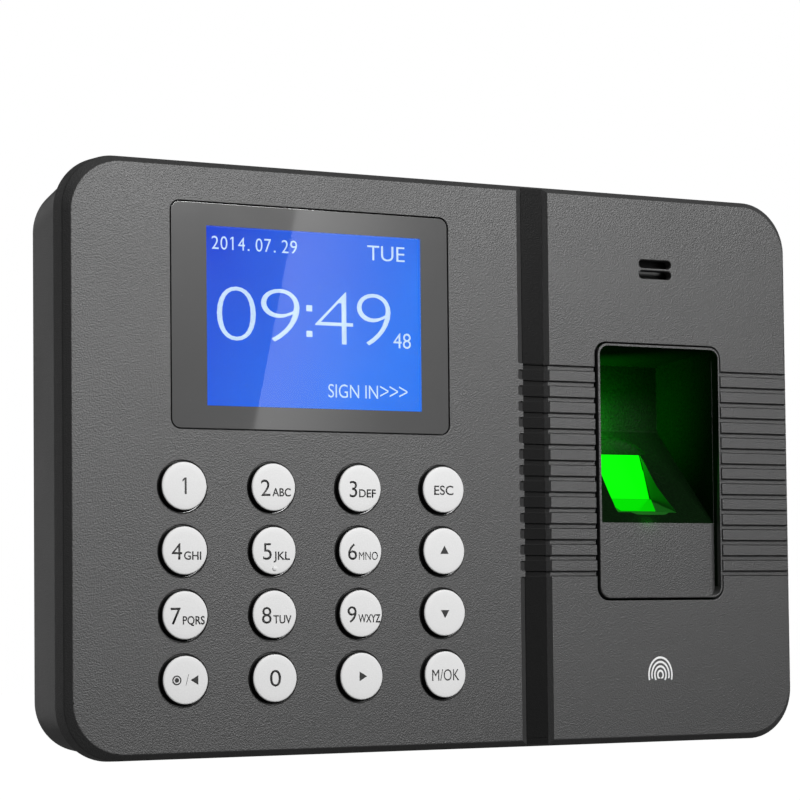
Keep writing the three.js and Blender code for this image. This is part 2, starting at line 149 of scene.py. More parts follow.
class DisplaySettings(PropertyGroup):
    screen_colour: colour_setting("Screen colour", "Colour of the lit screen", (0.008, 0.08, 0.78))
    border_colour: colour_setting(
        "Border colour", "Colour of the window's printed border", (0.064, 0.064, 0.064)
    )
    time_text: StringProperty(name="Time", description="Hours and minutes on the screen", default="09:49")
    seconds_text: StringProperty(name="Seconds", description="Seconds on the screen", default="48")
    date_text: StringProperty(name="Date", description="Date on the screen", default="2014.07.29")
    day_text: StringProperty(name="Day", description="Day of the week on the screen", default="TUE")
    prompt_text: StringProperty(name="Prompt", description="Prompt on the screen", default="SIGN IN >>>")


class ScannerSettings(PropertyGroup):
    glow: FloatProperty(
        name="Glow", description="Brightness of the scanner window", default=1.0, min=0, max=20
    )
    glow_colour: colour_setting("Glow colour", "Colour of the scanner window", (0.002, 0.97, 0.002))
    # The well's colour is painted shade and painted green lamp light: darker and greener than the grey
    # plastic it stands for.
    well_shade_and_glow: colour_setting("Well shade and glow", "Colour of the finger well's inside", (0.002, 0.0085, 0.002))


class StageSettings(PropertyGroup):
    floor_drop: length_setting("Floor drop", "Distance from the case down to the floor", 0.16, 0, 2)
    key_power: power_setting("Softbox", "Power of the large soft light in front", 8.6)
    rim_power: power_setting("Rim light", "Power of the light behind the case's left side", 0.36)
    back_power: power_setting("Back light", "Power of the soft light behind the case", 5.0)
    well_power: power_setting("Well light", "Power of the scanner's green lamp", 0.026, 1)
    sky: FloatProperty(
        name="Surroundings", description="Brightness of the surroundings as they light the case",
        default=0.12, min=0, max=5
    )


# ---------- modelling helpers (lengths in millimetres) ----------

def deselect():
    if bpy.context.mode != "OBJECT":
        bpy.ops.object.mode_set(mode="OBJECT")
    bpy.ops.object.select_all(action="DESELECT")


def activate(obj):
    deselect()
    obj.select_set(True)
    bpy.context.view_layer.objects.active = obj


def name_it(obj, name):
    obj.name = name
    obj.data.name = name
    return obj


def settle(obj):
    """Puts the object's place, turn and scale into its mesh."""
    activate(obj)
    bpy.ops.object.transform_apply(location=True, rotation=True, scale=True)
    return obj


def block(name, x0, x1, y0, y1, z0, z1):
    deselect()
    bpy.ops.mesh.primitive_cube_add(
        size=1, location=((x0 + x1) / 2 * MM, (y0 + y1) / 2 * MM, (z0 + z1) / 2 * MM)
    )
    obj = name_it(bpy.context.object, name)
    obj.scale = ((x1 - x0) * MM, (y1 - y0) * MM, (z1 - z0) * MM)
    return settle(obj)


def round_bar(name, x, z, y0, y1, r, sides=64):
    """A round bar along Y."""
    deselect()
    bpy.ops.mesh.primitive_cylinder_add(
        vertices=sides, radius=r * MM, depth=(y1 - y0) * MM, location=(x * MM, (y0 + y1) / 2 * MM, z * MM),
        rotation=(math.pi / 2, 0, 0)
    )
    return settle(name_it(bpy.context.object, name))


def pick(obj, kind, test):
    """Opens the mesh for editing with only the parts that pass the test selected."""
    activate(obj)
    bpy.ops.object.mode_set(mode="EDIT")
    bpy.ops.mesh.select_mode(type=kind)
    bpy.ops.mesh.select_all(action="DESELECT")
    bm = bmesh.from_edit_mesh(obj.data)
    for part in {"VERT": bm.verts, "EDGE": bm.edges, "FACE": bm.faces}[kind]:
        if test(part):
            part.select_set(True)
    bm.select_flush_mode()
    bmesh.update_edit_mesh(obj.data)


def done():
    bpy.ops.object.mode_set(mode="OBJECT")


def extrude(x, y, z):
    bpy.ops.mesh.extrude_region_move(TRANSFORM_OT_translate={"value": (x * MM, y * MM, z * MM)})


def move(x, y, z):
    bpy.ops.transform.translate(value=(x * MM, y * MM, z * MM))


def cut_open(obj, point, normal, keep="below"):
    """Cuts the mesh along a plane, closes the cut and keeps one side."""
    pick(obj, "VERT", lambda v: True)
    bpy.ops.mesh.bisect(
        plane_co=point, plane_no=normal, use_fill=True, clear_outer=keep == "below",
        clear_inner=keep == "above"
    )
    done()


def along(edge, axis):
    d = (edge.verts[1].co - edge.verts[0].co).normalized()
    return abs(d[axis]) > 0.999


def on_plane(edge, axis, value, slack=0.004):
    return all(abs(v.co[axis] / MM - value) < slack for v in edge.verts)


def bevel(obj, test, width, segments=3):
    pick(obj, "EDGE", test)
    bpy.ops.mesh.bevel(
        offset_type="OFFSET", offset=width * MM, segments=segments, profile=0.5, affect="EDGES",
        clamp_overlap=False
    )
    done()
    return obj


def round_block(name, x0, x1, y0, y1, z0, z1, r, segments=8):
    """A block whose four edges along Y are rounded."""
    return bevel(block(name, x0, x1, y0, y1, z0, z1), lambda e: along(e, 1), r, segments)


def reach(obj, steps, side=-1):
    """Extrudes the front (side -1) or back (side 1) face by steps of (travel, growth in x, growth in z)."""
    limit = (min if side < 0 else max)(v.co.y for v in obj.data.vertices)
    pick(obj, "FACE", lambda f: f.normal.y * side > 0.999 and abs(f.calc_center_median().y - limit) < 1e-6)
    for travel, grow_x, grow_z in steps:
        extrude(0, travel, 0)
        bm = bmesh.from_edit_mesh(obj.data)
        co = [v.co.copy() for v in bm.verts if v.select]
        lo = Vector(map(min, zip(*co)))
        hi = Vector(map(max, zip(*co)))
        size = hi - lo
        scale = (1 + 2 * grow_x * MM / size.x, 1, 1 + 2 * grow_z * MM / size.z)
        bpy.ops.transform.resize(value=scale, center_override=(lo + hi) / 2)
    done()
    return obj


def lipped(cutter, lip, steps=4, x=True):
    """Flares the front of a cutter that starts a lip below the face, so that it leaves a rounded edge."""
    path, last_y, last_g = [], 0.0, 0.0
    for i in range(1, steps + 1):
        t = math.pi / 2 * i / steps
        y, g = -lip * math.sin(t), lip * (1 - math.cos(t))
        path.append((y - last_y, (g - last_g) * x, g - last_g))
        last_y, last_g = y, g
    path.append((-1.0, 0, 0))
    return reach(cutter, path)


def join(parts, name):
    deselect()
    for p in parts:
        p.select_set(True)
    bpy.context.view_layer.objects.active = parts[0]
    if len(parts) > 1:
        bpy.ops.object.join()
    return name_it(bpy.context.object, name)


def combine(body, tool, operation="DIFFERENCE"):
    activate(body)
    mod = body.modifiers.new("combine", "BOOLEAN")
    mod.operation, mod.solver, mod.object = operation, "EXACT", tool
    bpy.ops.object.modifier_apply(modifier=mod.name)
    bpy.data.objects.remove(tool)
    if len(body.data.polygons) < 6:
        raise RuntimeError(f"{body.name} was lost while it was cut")
    return body


def soften(obj, angle=35, flat=None):
    """Smooth shading with flat faces kept flat. Faces painted with the flat index stay faceted."""
    activate(obj)
    bpy.ops.object.shade_smooth_by_angle(angle=math.radians(angle))
    for p in obj.data.polygons:
        if flat is not None and p.material_index == flat:
            p.use_smooth = False
    mod = obj.modifiers.new("face_weight", "WEIGHTED_NORMAL")
    mod.keep_sharp, mod.weight = True, 100
    bpy.ops.object.modifier_apply(modifier=mod.name)
    return obj


def paint(obj, *materials):
    obj.data.materials.clear()
    for m in materials:
        obj.data.materials.append(m)
    for p in obj.data.polygons:
        p.material_index = 0
    return obj


def paint_where(obj, index, test):
    for p in obj.data.polygons:
        if test(p.center / MM, p.normal):
            p.material_index = index


def finish_piece(obj, body, slot, *nodes):
    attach(obj, body)
    if nodes:
        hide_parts(*nodes)
    return obj


def lettering(text, x, y, base_z, height, width=None, thin=0.0, align="CENTER"):
    """Flat raised text that faces the front, scaled to the height of a capital or figure."""
    deselect()
    bpy.ops.object.text_add(location=(0, 0, 0))
    obj = bpy.context.object
    obj.data.body = text
    obj.data.size = 1
    obj.data.offset = -thin
    obj.data.resolution_u = 6
    bpy.ops.object.convert(target="MESH")
    obj = bpy.context.object
    co = [v.co for v in obj.data.vertices]
    x0, x1 = min(c.x for c in co), max(c.x for c in co)
    y1 = max(c.y for c in co)
    sy = height / y1
    sx = sy if width is None else width / (x1 - x0)
    obj.scale = (sx * MM, sy * MM, 1)
    settle(obj)
    w0, w1 = x0 * sx, x1 * sx
    shift = {"CENTER": -(w0 + w1) / 2, "LEFT": -w0, "RIGHT": -w1}[align]
    obj.rotation_euler = (math.pi / 2, 0, 0)
    obj.location = ((x + shift) * MM, y * MM, base_z * MM)
    settle(obj)
    mod = obj.modifiers.new("thick", "SOLIDIFY")
    mod.thickness, mod.offset = INK * MM, -1
    bpy.ops.object.modifier_apply(modifier=mod.name)
    return obj


def figure_one(x, y, base_z, height, stroke):
    """The figure one: an upright stroke with a short flag on its left."""
    bar = block("one", x - stroke / 2, x + stroke / 2, y - INK / 2, y + INK / 2, base_z, base_z + height)
    flag = block(
        "flag", x - height * 0.2, x - stroke / 2 + 0.01, y - INK / 2, y + INK / 2, base_z + height - stroke,
        base_z + height
    )
    pick(flag, "VERT", lambda v: v.co.x < (x - stroke / 2 - 0.05) * MM)
    move(0, 0, -height * 0.13)
    done()
    return join([bar, flag], "one")


def row_of_figures(text, x, y, base_z, height, pitch, thin=0.0):
    """Figures set at an even pitch, as on a dot display."""
    parts = []
    for i, figure in enumerate(text):
        middle = x + pitch * (i + 0.5)
        if figure == "1":
            parts.append(figure_one(middle, y, base_z, height, height * 0.11))
        elif figure == ".":
            dot = height * 0.07
            parts.append(block(
                "dot", middle - dot - pitch * 0.2, middle + dot - pitch * 0.2, y - INK / 2, y + INK / 2,
                base_z, base_z + 2 * dot
            ))
        else:
            parts.append(lettering(figure, middle, y, base_z, height, width=pitch * 0.78, thin=thin))
    return parts


# ---------- materials ----------

def add_node(tree, kind, x, y, **settings):
    node = tree.nodes.new(kind)
    node.location = (x, y)
    for key, value in settings.items():
        setattr(node, key, value)
    return node


def new_group(name, inputs, outputs):
    tree = bpy.data.node_groups.new(name, "ShaderNodeTree")
    for label, kind, value in inputs:
        item = tree.interface.new_socket(name=label, in_out="INPUT", socket_type=kind)
        if value is not None:
            item.default_value = value
    for label, kind in outputs:
        tree.interface.new_socket(name=label, in_out="OUTPUT", socket_type=kind)
    return tree, add_node(tree, "NodeGroupInput", -900, 0), add_node(tree, "NodeGroupOutput", 700, 0)


def moulded_grain_group():
    """Spark-eroded grain of a moulded part: a height, and a mask for its faint speckle."""
    tree, gin, gout = new_group(
        "Moulded grain",
        [("Vector", "NodeSocketVector", None), ("Size", "NodeSocketFloat", 0.0004)],
        [("Height", "NodeSocketFloat"), ("Speckle", "NodeSocketFloat"), ("Patch", "NodeSocketFloat")],
    )
    inverse = add_node(tree, "ShaderNodeMath", -700, -150, operation="DIVIDE")
    inverse.inputs[0].default_value = 1.0
    tree.links.new(gin.outputs["Size"], inverse.inputs[1])
    fine = add_node(tree, "ShaderNodeTexNoise", -400, 200, noise_dimensions="3D")
    fine.inputs["Detail"].default_value = 3.0
    fine.inputs["Roughness"].default_value = 0.65
    cells = add_node(tree, "ShaderNodeTexVoronoi", -400, -100, feature="SMOOTH_F1")
    cells.inputs["Smoothness"].default_value = 0.8
    patch = add_node(tree, "ShaderNodeTexNoise", -400, -420, noise_dimensions="3D")
    patch.inputs["Scale"].default_value = 28.0
    patch.inputs["Detail"].default_value = 4.0
    mix = add_node(tree, "ShaderNodeMath", -100, 100, operation="MULTIPLY_ADD")
    mix.inputs[1].default_value = 0.6
    for node in (fine, cells, patch):
        tree.links.new(gin.outputs["Vector"], node.inputs["Vector"])
    for node in (fine, cells):
        tree.links.new(inverse.outputs[0], node.inputs["Scale"])
    tree.links.new(cells.outputs["Distance"], mix.inputs[0])
    tree.links.new(fine.outputs["Fac"], mix.inputs[2])
    speckle = add_node(tree, "ShaderNodeMapRange", 100, -80)
    speckle.inputs["From Min"].default_value = 0.32
    speckle.inputs["From Max"].default_value = 0.7
    tree.links.new(fine.outputs["Fac"], speckle.inputs["Value"])
    tree.links.new(mix.outputs[0], gout.inputs["Height"])
    tree.links.new(speckle.outputs["Result"], gout.inputs["Speckle"])
    tree.links.new(patch.outputs["Fac"], gout.inputs["Patch"])
    return tree


def handling_group():
    """Faint smears and dust on a smooth surface: a value to add to its roughness."""
    tree, gin, gout = new_group(
        "Handling",
        [("Vector", "NodeSocketVector", None), ("Amount", "NodeSocketFloat", 0.1)],
        [("Smear", "NodeSocketFloat"), ("Dust", "NodeSocketFloat")],
    )
    smear = add_node(tree, "ShaderNodeTexNoise", -400, 150, noise_dimensions="3D")
    smear.inputs["Scale"].default_value = 60.0
    smear.inputs["Detail"].default_value = 5.0
    smear.inputs["Distortion"].default_value = 1.4
    dust = add_node(tree, "ShaderNodeTexNoise", -400, -200, noise_dimensions="3D")
    dust.inputs["Scale"].default_value = 1400.0
    dust.inputs["Detail"].default_value = 1.0
    level = add_node(tree, "ShaderNodeMath", -100, 150, operation="MULTIPLY")
    grains = add_node(tree, "ShaderNodeMapRange", -100, -200)
    grains.inputs["From Min"].default_value = 0.74
    grains.inputs["From Max"].default_value = 0.8
    for node in (smear, dust):
        tree.links.new(gin.outputs["Vector"], node.inputs["Vector"])
    tree.links.new(smear.outputs["Fac"], level.inputs[0])
    tree.links.new(gin.outputs["Amount"], level.inputs[1])
    tree.links.new(dust.outputs["Fac"], grains.inputs["Value"])
    tree.links.new(level.outputs[0], gout.inputs["Smear"])
    tree.links.new(grains.outputs["Result"], gout.inputs["Dust"])
    return tree


def shared_group(name):
    return bpy.data.node_groups.get(name) or {
        "Moulded grain": moulded_grain_group, "Handling": handling_group
    }[name]()


def new_material(name):
    mat = bpy.data.materials.new(name)
    mat.use_nodes = True
    tree = mat.node_tree
    bsdf = tree.nodes["Principled BSDF"]
    coord = add_node(tree, "ShaderNodeTexCoord", -1300, 0)
    return mat, tree, bsdf, coord.outputs["Object"]


def use_group(tree, name, vector, x, y, **values):
    node = add_node(tree, "ShaderNodeGroup", x, y)
    node.node_tree = shared_group(name)
    tree.links.new(vector, node.inputs["Vector"])
    for key, value in values.items():
        node.inputs[key].default_value = value
    return node


def moulded_plastic(
    name, colour, roughness=0.5, grain=0.00042, bump=0.35, speckle=0.12, spread=0.06, sheen=0.5
):
    """Moulded plastic with a spark-eroded grain, a faint speckle and slow patches of sheen."""
    mat, tree, bsdf, vector = new_material(name)
    g = use_group(tree, "Moulded grain", vector, -1000, 0, Size=grain)
    ramp = add_node(tree, "ShaderNodeMix", -500, 200, data_type="RGBA")
    dark = tuple(c * (1 - speckle) for c in colour)
    light = tuple(min(1, c * (1 + speckle)) for c in colour)
    ramp.inputs["A"].default_value = (*dark, 1)
    ramp.inputs["B"].default_value = (*light, 1)
    tree.links.new(g.outputs["Speckle"], ramp.inputs["Factor"])
    tree.links.new(ramp.outputs["Result"], bsdf.inputs["Base Color"])
    rough = add_node(tree, "ShaderNodeMapRange", -500, -100)
    rough.inputs["To Min"].default_value = roughness - spread
    rough.inputs["To Max"].default_value = roughness + spread
    tree.links.new(g.outputs["Patch"], rough.inputs["Value"])
    tree.links.new(rough.outputs["Result"], bsdf.inputs["Roughness"])
    bumper = add_node(tree, "ShaderNodeBump", -300, -350)
    bumper.inputs["Strength"].default_value = bump
    bumper.inputs["Distance"].default_value = grain * 0.3
    tree.links.new(g.outputs["Height"], bumper.inputs["Height"])
    tree.links.new(bumper.outputs["Normal"], bsdf.inputs["Normal"])
    bsdf.inputs["Specular IOR Level"].default_value = sheen
    return mat


def smooth_finish(name, colour, roughness=0.3, metallic=0.0, smear=0.08, coat=0.0, speckle=0.05):
    """A smooth finish, such as plating, gloss plastic or solder mask, with faint handling marks."""
    mat, tree, bsdf, vector = new_material(name)
    h = use_group(tree, "Handling", vector, -1000, 0, Amount=smear * 2)
    add = add_node(tree, "ShaderNodeMath", -500, -100, operation="ADD")
    add.inputs[1].default_value = roughness - smear
    tree.links.new(h.outputs["Smear"], add.inputs[0])
    tree.links.new(add.outputs[0], bsdf.inputs["Roughness"])
    mix = add_node(tree, "ShaderNodeMix", -500, 200, data_type="RGBA")
    mix.inputs["A"].default_value = (*colour, 1)
    mix.inputs["B"].default_value = (*[min(1, c * (1 + speckle) + 0.02) for c in colour], 1)
    tree.links.new(h.outputs["Dust"], mix.inputs["Factor"])
    tree.links.new(mix.outputs["Result"], bsdf.inputs["Base Color"])
    bsdf.inputs["Metallic"].default_value = metallic
    if coat:
        bsdf.inputs["Coat Weight"].default_value = coat
        bsdf.inputs["Coat Roughness"].default_value = 0.03
    return mat


def lit_surface(name, colour, strength, roughness=0.15, sheen=0.5):
    """A lit plastic surface, with faint handling marks in its gloss."""
    mat, tree, bsdf, vector = new_material(name)
    h = use_group(tree, "Handling", vector, -1000, 0, Amount=0.1)
    add = add_node(tree, "ShaderNodeMath", -500, -100, operation="ADD")
    add.inputs[1].default_value = roughness
    tree.links.new(h.outputs["Smear"], add.inputs[0])
    tree.links.new(add.outputs[0], bsdf.inputs["Roughness"])
    bsdf.inputs["Base Color"].default_value = (*[c * 0.05 for c in colour], 1)
    bsdf.inputs["Emission Color"].default_value = (*colour, 1)
    bsdf.inputs["Emission Strength"].default_value = strength
    bsdf.inputs["Specular IOR Level"].default_value = sheen
    return mat


def clear_lens(name):
    mat, tree, bsdf, vector = new_material(name)
    h = use_group(tree, "Handling", vector, -1000, 0, Amount=0.02)
    tree.links.new(h.outputs["Smear"], bsdf.inputs["Roughness"])
    bsdf.inputs["Base Color"].default_value = (0.97, 0.98, 1.0, 1)
    bsdf.inputs["Transmission Weight"].default_value = 1.0
    bsdf.inputs["IOR"].default_value = 1.47
    return mat


def lit_screen(name, colour):
    """The blue screen: brighter towards its lower right corner, with the backlight's uneven glow."""
    mat, tree, bsdf, vector = new_material(name)
    lo_x, hi_x, lo_z, hi_z = (v * MM for v in LCD)
    split = add_node(tree, "ShaderNodeSeparateXYZ", -1100, 200)
    tree.links.new(vector, split.inputs[0])
    across = add_node(tree, "ShaderNodeMapRange", -850, 300)
    across.inputs["From Min"].default_value, across.inputs["From Max"].default_value = lo_x, hi_x
    up = add_node(tree, "ShaderNodeMapRange", -850, 50)
    up.inputs["From Min"].default_value, up.inputs["From Max"].default_value = hi_z, lo_z
    tree.links.new(split.outputs["X"], across.inputs["Value"])
    tree.links.new(split.outputs["Z"], up.inputs["Value"])
    blend = add_node(tree, "ShaderNodeMath", -600, 150, operation="MULTIPLY_ADD")
    blend.inputs[1].default_value = 0.35
    half = add_node(tree, "ShaderNodeMath", -600, 350, operation="MULTIPLY")
    half.inputs[1].default_value = 0.65
    tree.links.new(across.outputs["Result"], half.inputs[0])
    tree.links.new(up.outputs["Result"], blend.inputs[0])
    tree.links.new(half.outputs[0], blend.inputs[2])
    glow = add_node(tree, "ShaderNodeTexNoise", -850, -250, noise_dimensions="3D")
    glow.inputs["Scale"].default_value = 45.0
    wobble = add_node(tree, "ShaderNodeMath", -400, 0, operation="MULTIPLY_ADD")
    wobble.inputs[1].default_value = 0.35
    tree.links.new(vector, glow.inputs["Vector"])
    tree.links.new(glow.outputs["Fac"], wobble.inputs[0])
    tree.links.new(blend.outputs[0], wobble.inputs[2])
    ramp = add_node(tree, "ShaderNodeValToRGB", -200, 100)
    ramp.color_ramp.elements[0].position = 0.15
    ramp.color_ramp.elements[0].color = (colour[0] * 0.75, colour[1] * 0.72, colour[2] * 0.88, 1)
    ramp.color_ramp.elements[1].position = 1.15
    ramp.color_ramp.elements[1].color = (colour[0] * 2.2, colour[1] * 2.4, min(1, colour[2] * 1.2), 1)
    tree.links.new(wobble.outputs[0], ramp.inputs["Fac"])
    tree.links.new(ramp.outputs["Color"], bsdf.inputs["Emission Color"])
    bsdf.inputs["Emission Strength"].default_value = 1.0
    bsdf.inputs["Base Color"].default_value = (0.01, 0.01, 0.015, 1)
    bsdf.inputs["Roughness"].default_value = 0.4
    bsdf.inputs["Specular IOR Level"].default_value = 0.08
    return mat


# ---------- front cover ----------

def key_place(i):
    """The middle of a key, counted along the rows from the upper left."""
    return KEY_X + KEY_DX * (i % 4), KEY_Z - KEY_DZ * (i // 4)


class TERMINAL_OT_front_cover(Operator):
    """Models the front cover with its chamfer, channel, ribs and openings"""
    bl_idname = "terminal.front_cover"
    bl_label = "Front cover"

    def execute(self, context):
        s = context.scene.terminal_case
        lip, floor, groove = s.lip / MM, s.channel_depth / MM, s.groove_depth / MM
        cover = round_block("cover", -OUT_X, OUT_X, FACE + CHAMFER_D, FACE + SIDE_D, -OUT_Z, OUT_Z, OUT_R, 24)
        reach(cover, [(-CHAMFER_D, -CHAMFER_IN, -CHAMFER_IN)])
        back = FACE + SIDE_D
        pick(cover, "FACE", lambda f: f.normal.y > 0.999)
        bpy.ops.transform.resize(
            value=(1 + 0.29 / OUT_X, 1, 1 + 0.29 / OUT_Z), center_override=(0, back * MM, 0)
        )
        done()
        bevel(cover, lambda e: on_plane(e, 1, FACE + CHAMFER_D), 0.3, 3)
        bevel(cover, lambda e: on_plane(e, 1, FACE), 0.22, 3)
        bevel(cover, lambda e: on_plane(e, 1, back), 0.2, 2)
        combine(
            cover,
            round_block(
                "inside", -OUT_X + 2.2, OUT_X - 2.2, FACE + SKIN, FACE + 12, -OUT_Z + 2.2, OUT_Z - 2.2,
                OUT_R - 2.2, 12
            )
        )

        # The channel's floor and right slope run the full height.
        core = block("core", CH["floor0"], CH["floor1"], FACE + floor - 0.02, FACE + floor, -80, 80)
        pick(core, "FACE", lambda f: f.normal.y < -0.999)
        wide, narrow = CH["x1"] - CH["tooth"], CH["floor1"] - CH["floor0"]
        pivot = (CH["floor0"] * wide - CH["tooth"] * narrow) / (wide - narrow)
        extrude(0, -floor, 0)
        bpy.ops.transform.resize(value=(wide / narrow, 1, 1), center_override=(pivot * MM, 0, 0))
        extrude(0, -1, 0)
        done()
        combine(cover, core)

        # Its left slope is cut above and below the ribs, and once for each rib, with rounded ends.
        rows = [(RIB_TOP + 0.02, 80.0), (-80.0, BAND_END - 0.02)]
        rows += [(
            RIB_TOP - RIB_PITCH * (i + 1), RIB_TOP - RIB_PITCH * i - GROOVE
        ) for i in range(RIB_COUNT - 1)]
        slopes = []
        for z0, z1 in rows:
            inner = CH["floor0"] + 1.2
            slope = block(
                "slope", CH["floor0"], inner, FACE + floor - 0.03, FACE + floor - 0.01, z0 + 0.1, z1 - 0.1
            )
            bevel(slope, lambda e: along(e, 1) and e.verts[0].co.x < (CH["floor0"] + 0.1) * MM, 0.3, 4)
            pick(slope, "FACE", lambda f: f.normal.y < -0.999)
            extrude(0, -(floor - 0.01), 0)
            h = z1 - z0 - 0.2
            bpy.ops.transform.resize(
                value=((inner - CH["x0"]) / 1.2, 1, (h + 0.2) / h),
                center_override=(inner * MM, 0, (z0 + z1) / 2 * MM)
            )
            extrude(0, -1, 0)
            done()
            slopes.append(slope)
        combine(cover, join(slopes, "slopes"))

        # Grooves between the ribs cross the channel's floor, climb its right slope and run on to the
        # scanner, and again from the scanner to the cover's edge.
        grooves = []
        for i in range(RIB_COUNT):
            z1 = RIB_TOP - RIB_PITCH * i
            z0 = z1 - GROOVE
            for x0, x1 in ((CH["x1"] - 0.1, RIM[0] - 0.3), (RIM[1] + 0.3, OUT_X + 2)):
                strip = block("groove", x0, x1, FACE + 0.1, FACE + groove, z0 + 0.05, z1 - 0.05)
                bevel(strip, lambda e: along(e, 0) and e.verts[0].co.y > (FACE + 0.4) * MM, 0.14, 2)
                lipped(strip, 0.1, steps=3, x=False)
                if x0 < RIM[0]:
                    for dx, dy in (
                        (CH["x1"] - CH["floor1"] - 0.25, floor + 0.45 - groove),
                        (CH["floor1"] - CH["floor0"] + 0.07, 0)
                    ):
                        pick(strip, "FACE", lambda f: f.normal.x < -0.999)
                        extrude(-dx, dy, 0)
                        done()
                grooves.append(strip)
        combine(cover, join(grooves, "grooves"))
        reliefs = []
        for i in range(RIB_COUNT):
            z0 = RIB_TOP - RIB_PITCH * i - GROOVE
            for x0, x1 in ((CH["x1"] + 0.05, RIM[0] - 0.2), (RIM[1] + 0.2, OUT_X + 2.1)):
                reliefs.append(block("relief", x0, x1, FACE + 0.3, FACE + groove + 0.5, z0 + 0.06, z0 + 0.27))
        combine(cover, join(reliefs, "reliefs"))

        # Display pocket and its opening.
        pocket = round_block("pocket", LENS[0], LENS[1], FACE + 0.12, FACE + 1.9, LENS[2], LENS[3], 2.5, 8)
        combine(cover, lipped(pocket, 0.12, steps=3))
        combine(
            cover,
            round_block(
                "opening", LCD[0] - 3.2, LCD[1] + 3.2, FACE + 1, FACE + 4, LCD[2] - 3.2, LCD[3] + 3.2, 1, 3
            )
        )

        # Scanner opening, speaker slots and key holes.
        mouth = round_block(
            "mouth", RIM[0] - 0.55, RIM[1] + 0.55, FACE + 0.2, FACE + 4, RIM[2] - 0.55, RIM[3] + 0.35, 3.4, 10
        )
        combine(cover, lipped(mouth, 0.2))
        holes = []
        for z in (53.3, 50.5):
            slot = round_block("slot", 55.5, 65.3, FACE + 0.3, FACE + 4, z - 1.05, z + 1.05, 1.04, 10)
            holes.append(lipped(slot, 0.3))
        for i in range(len(KEYS)):
            x, z = key_place(i)
            hole = round_bar("hole", x, z - HOLE_LOW, FACE + HOLE_LIP_D, FACE + 4, HOLE_R, 72)
            holes.append(reach(hole, [(-HOLE_LIP_D, HOLE_LIP, HOLE_LIP), (-1, 0, 0)]))
        combine(cover, join(holes, "holes"))
        soften(cover, 32)
        paint(cover, moulded_plastic("Cover plastic", s.cover_colour, 0.52, s.grain, 1.0, 0.35, 0.04, 1.0),
              moulded_plastic("Channel trim", s.channel_colour, 0.4, s.grain, 0.5, 0.2, 0.04, 0.08))

        def on_channel_floor(c, n):
            across = CH["floor0"] - 0.1 < c.x < CH["floor1"] + 0.1 and abs(c.z) < OUT_Z
            return across and FACE + floor - 0.05 < c.y < FACE + 2.3

        paint_where(cover, 1, on_channel_floor)
        cover.data.materials.append(smooth_finish("Polished lip", (0.012, 0.012, 0.012), 0.14, 0, 0.02))

        def on_lip(c, n):
            column, row = round((c.x - KEY_X) / KEY_DX), round((KEY_Z - c.z) / KEY_DZ)
            off = math.hypot(c.x - KEY_X - KEY_DX * column, c.z - KEY_Z + KEY_DZ * row + HOLE_LOW)
            beside_keys = c.x < 10 and c.z < 4 and c.y < FACE + 0.12
            return beside_keys and HOLE_R - 0.05 < off < HOLE_R + 0.6 and abs(n.y) < 0.998

        paint_where(cover, 2, on_lip)
        finish_piece(name_it(cover, "cover_shell"), "case", "cover_plastic", "front_cover")

        trim = bpy.data.materials["Channel trim"]
        for node, z0, z1 in (
            ("channel_strip_upper", RIB_TOP + 0.12, OUT_Z - CHAMFER_IN - 0.6),
            ("channel_strip_lower", -OUT_Z + CHAMFER_IN + 0.6, BAND_END - 0.12)
        ):
            strip = block(
                node, CH["floor0"] + 0.08, CH["floor1"] - 0.08, FACE + floor - 0.12, FACE + floor - 0.012, z0,
                z1
            )
            bevel(strip, lambda e: on_plane(e, 1, FACE + floor - 0.12), 0.05, 2)
            soften(paint(strip, trim))
            finish_piece(name_it(strip, "trim_" + node.split("_")[-1]), "case", "trim_dark", node)
        return {"FINISHED"}


# ---------- rear housing ----------

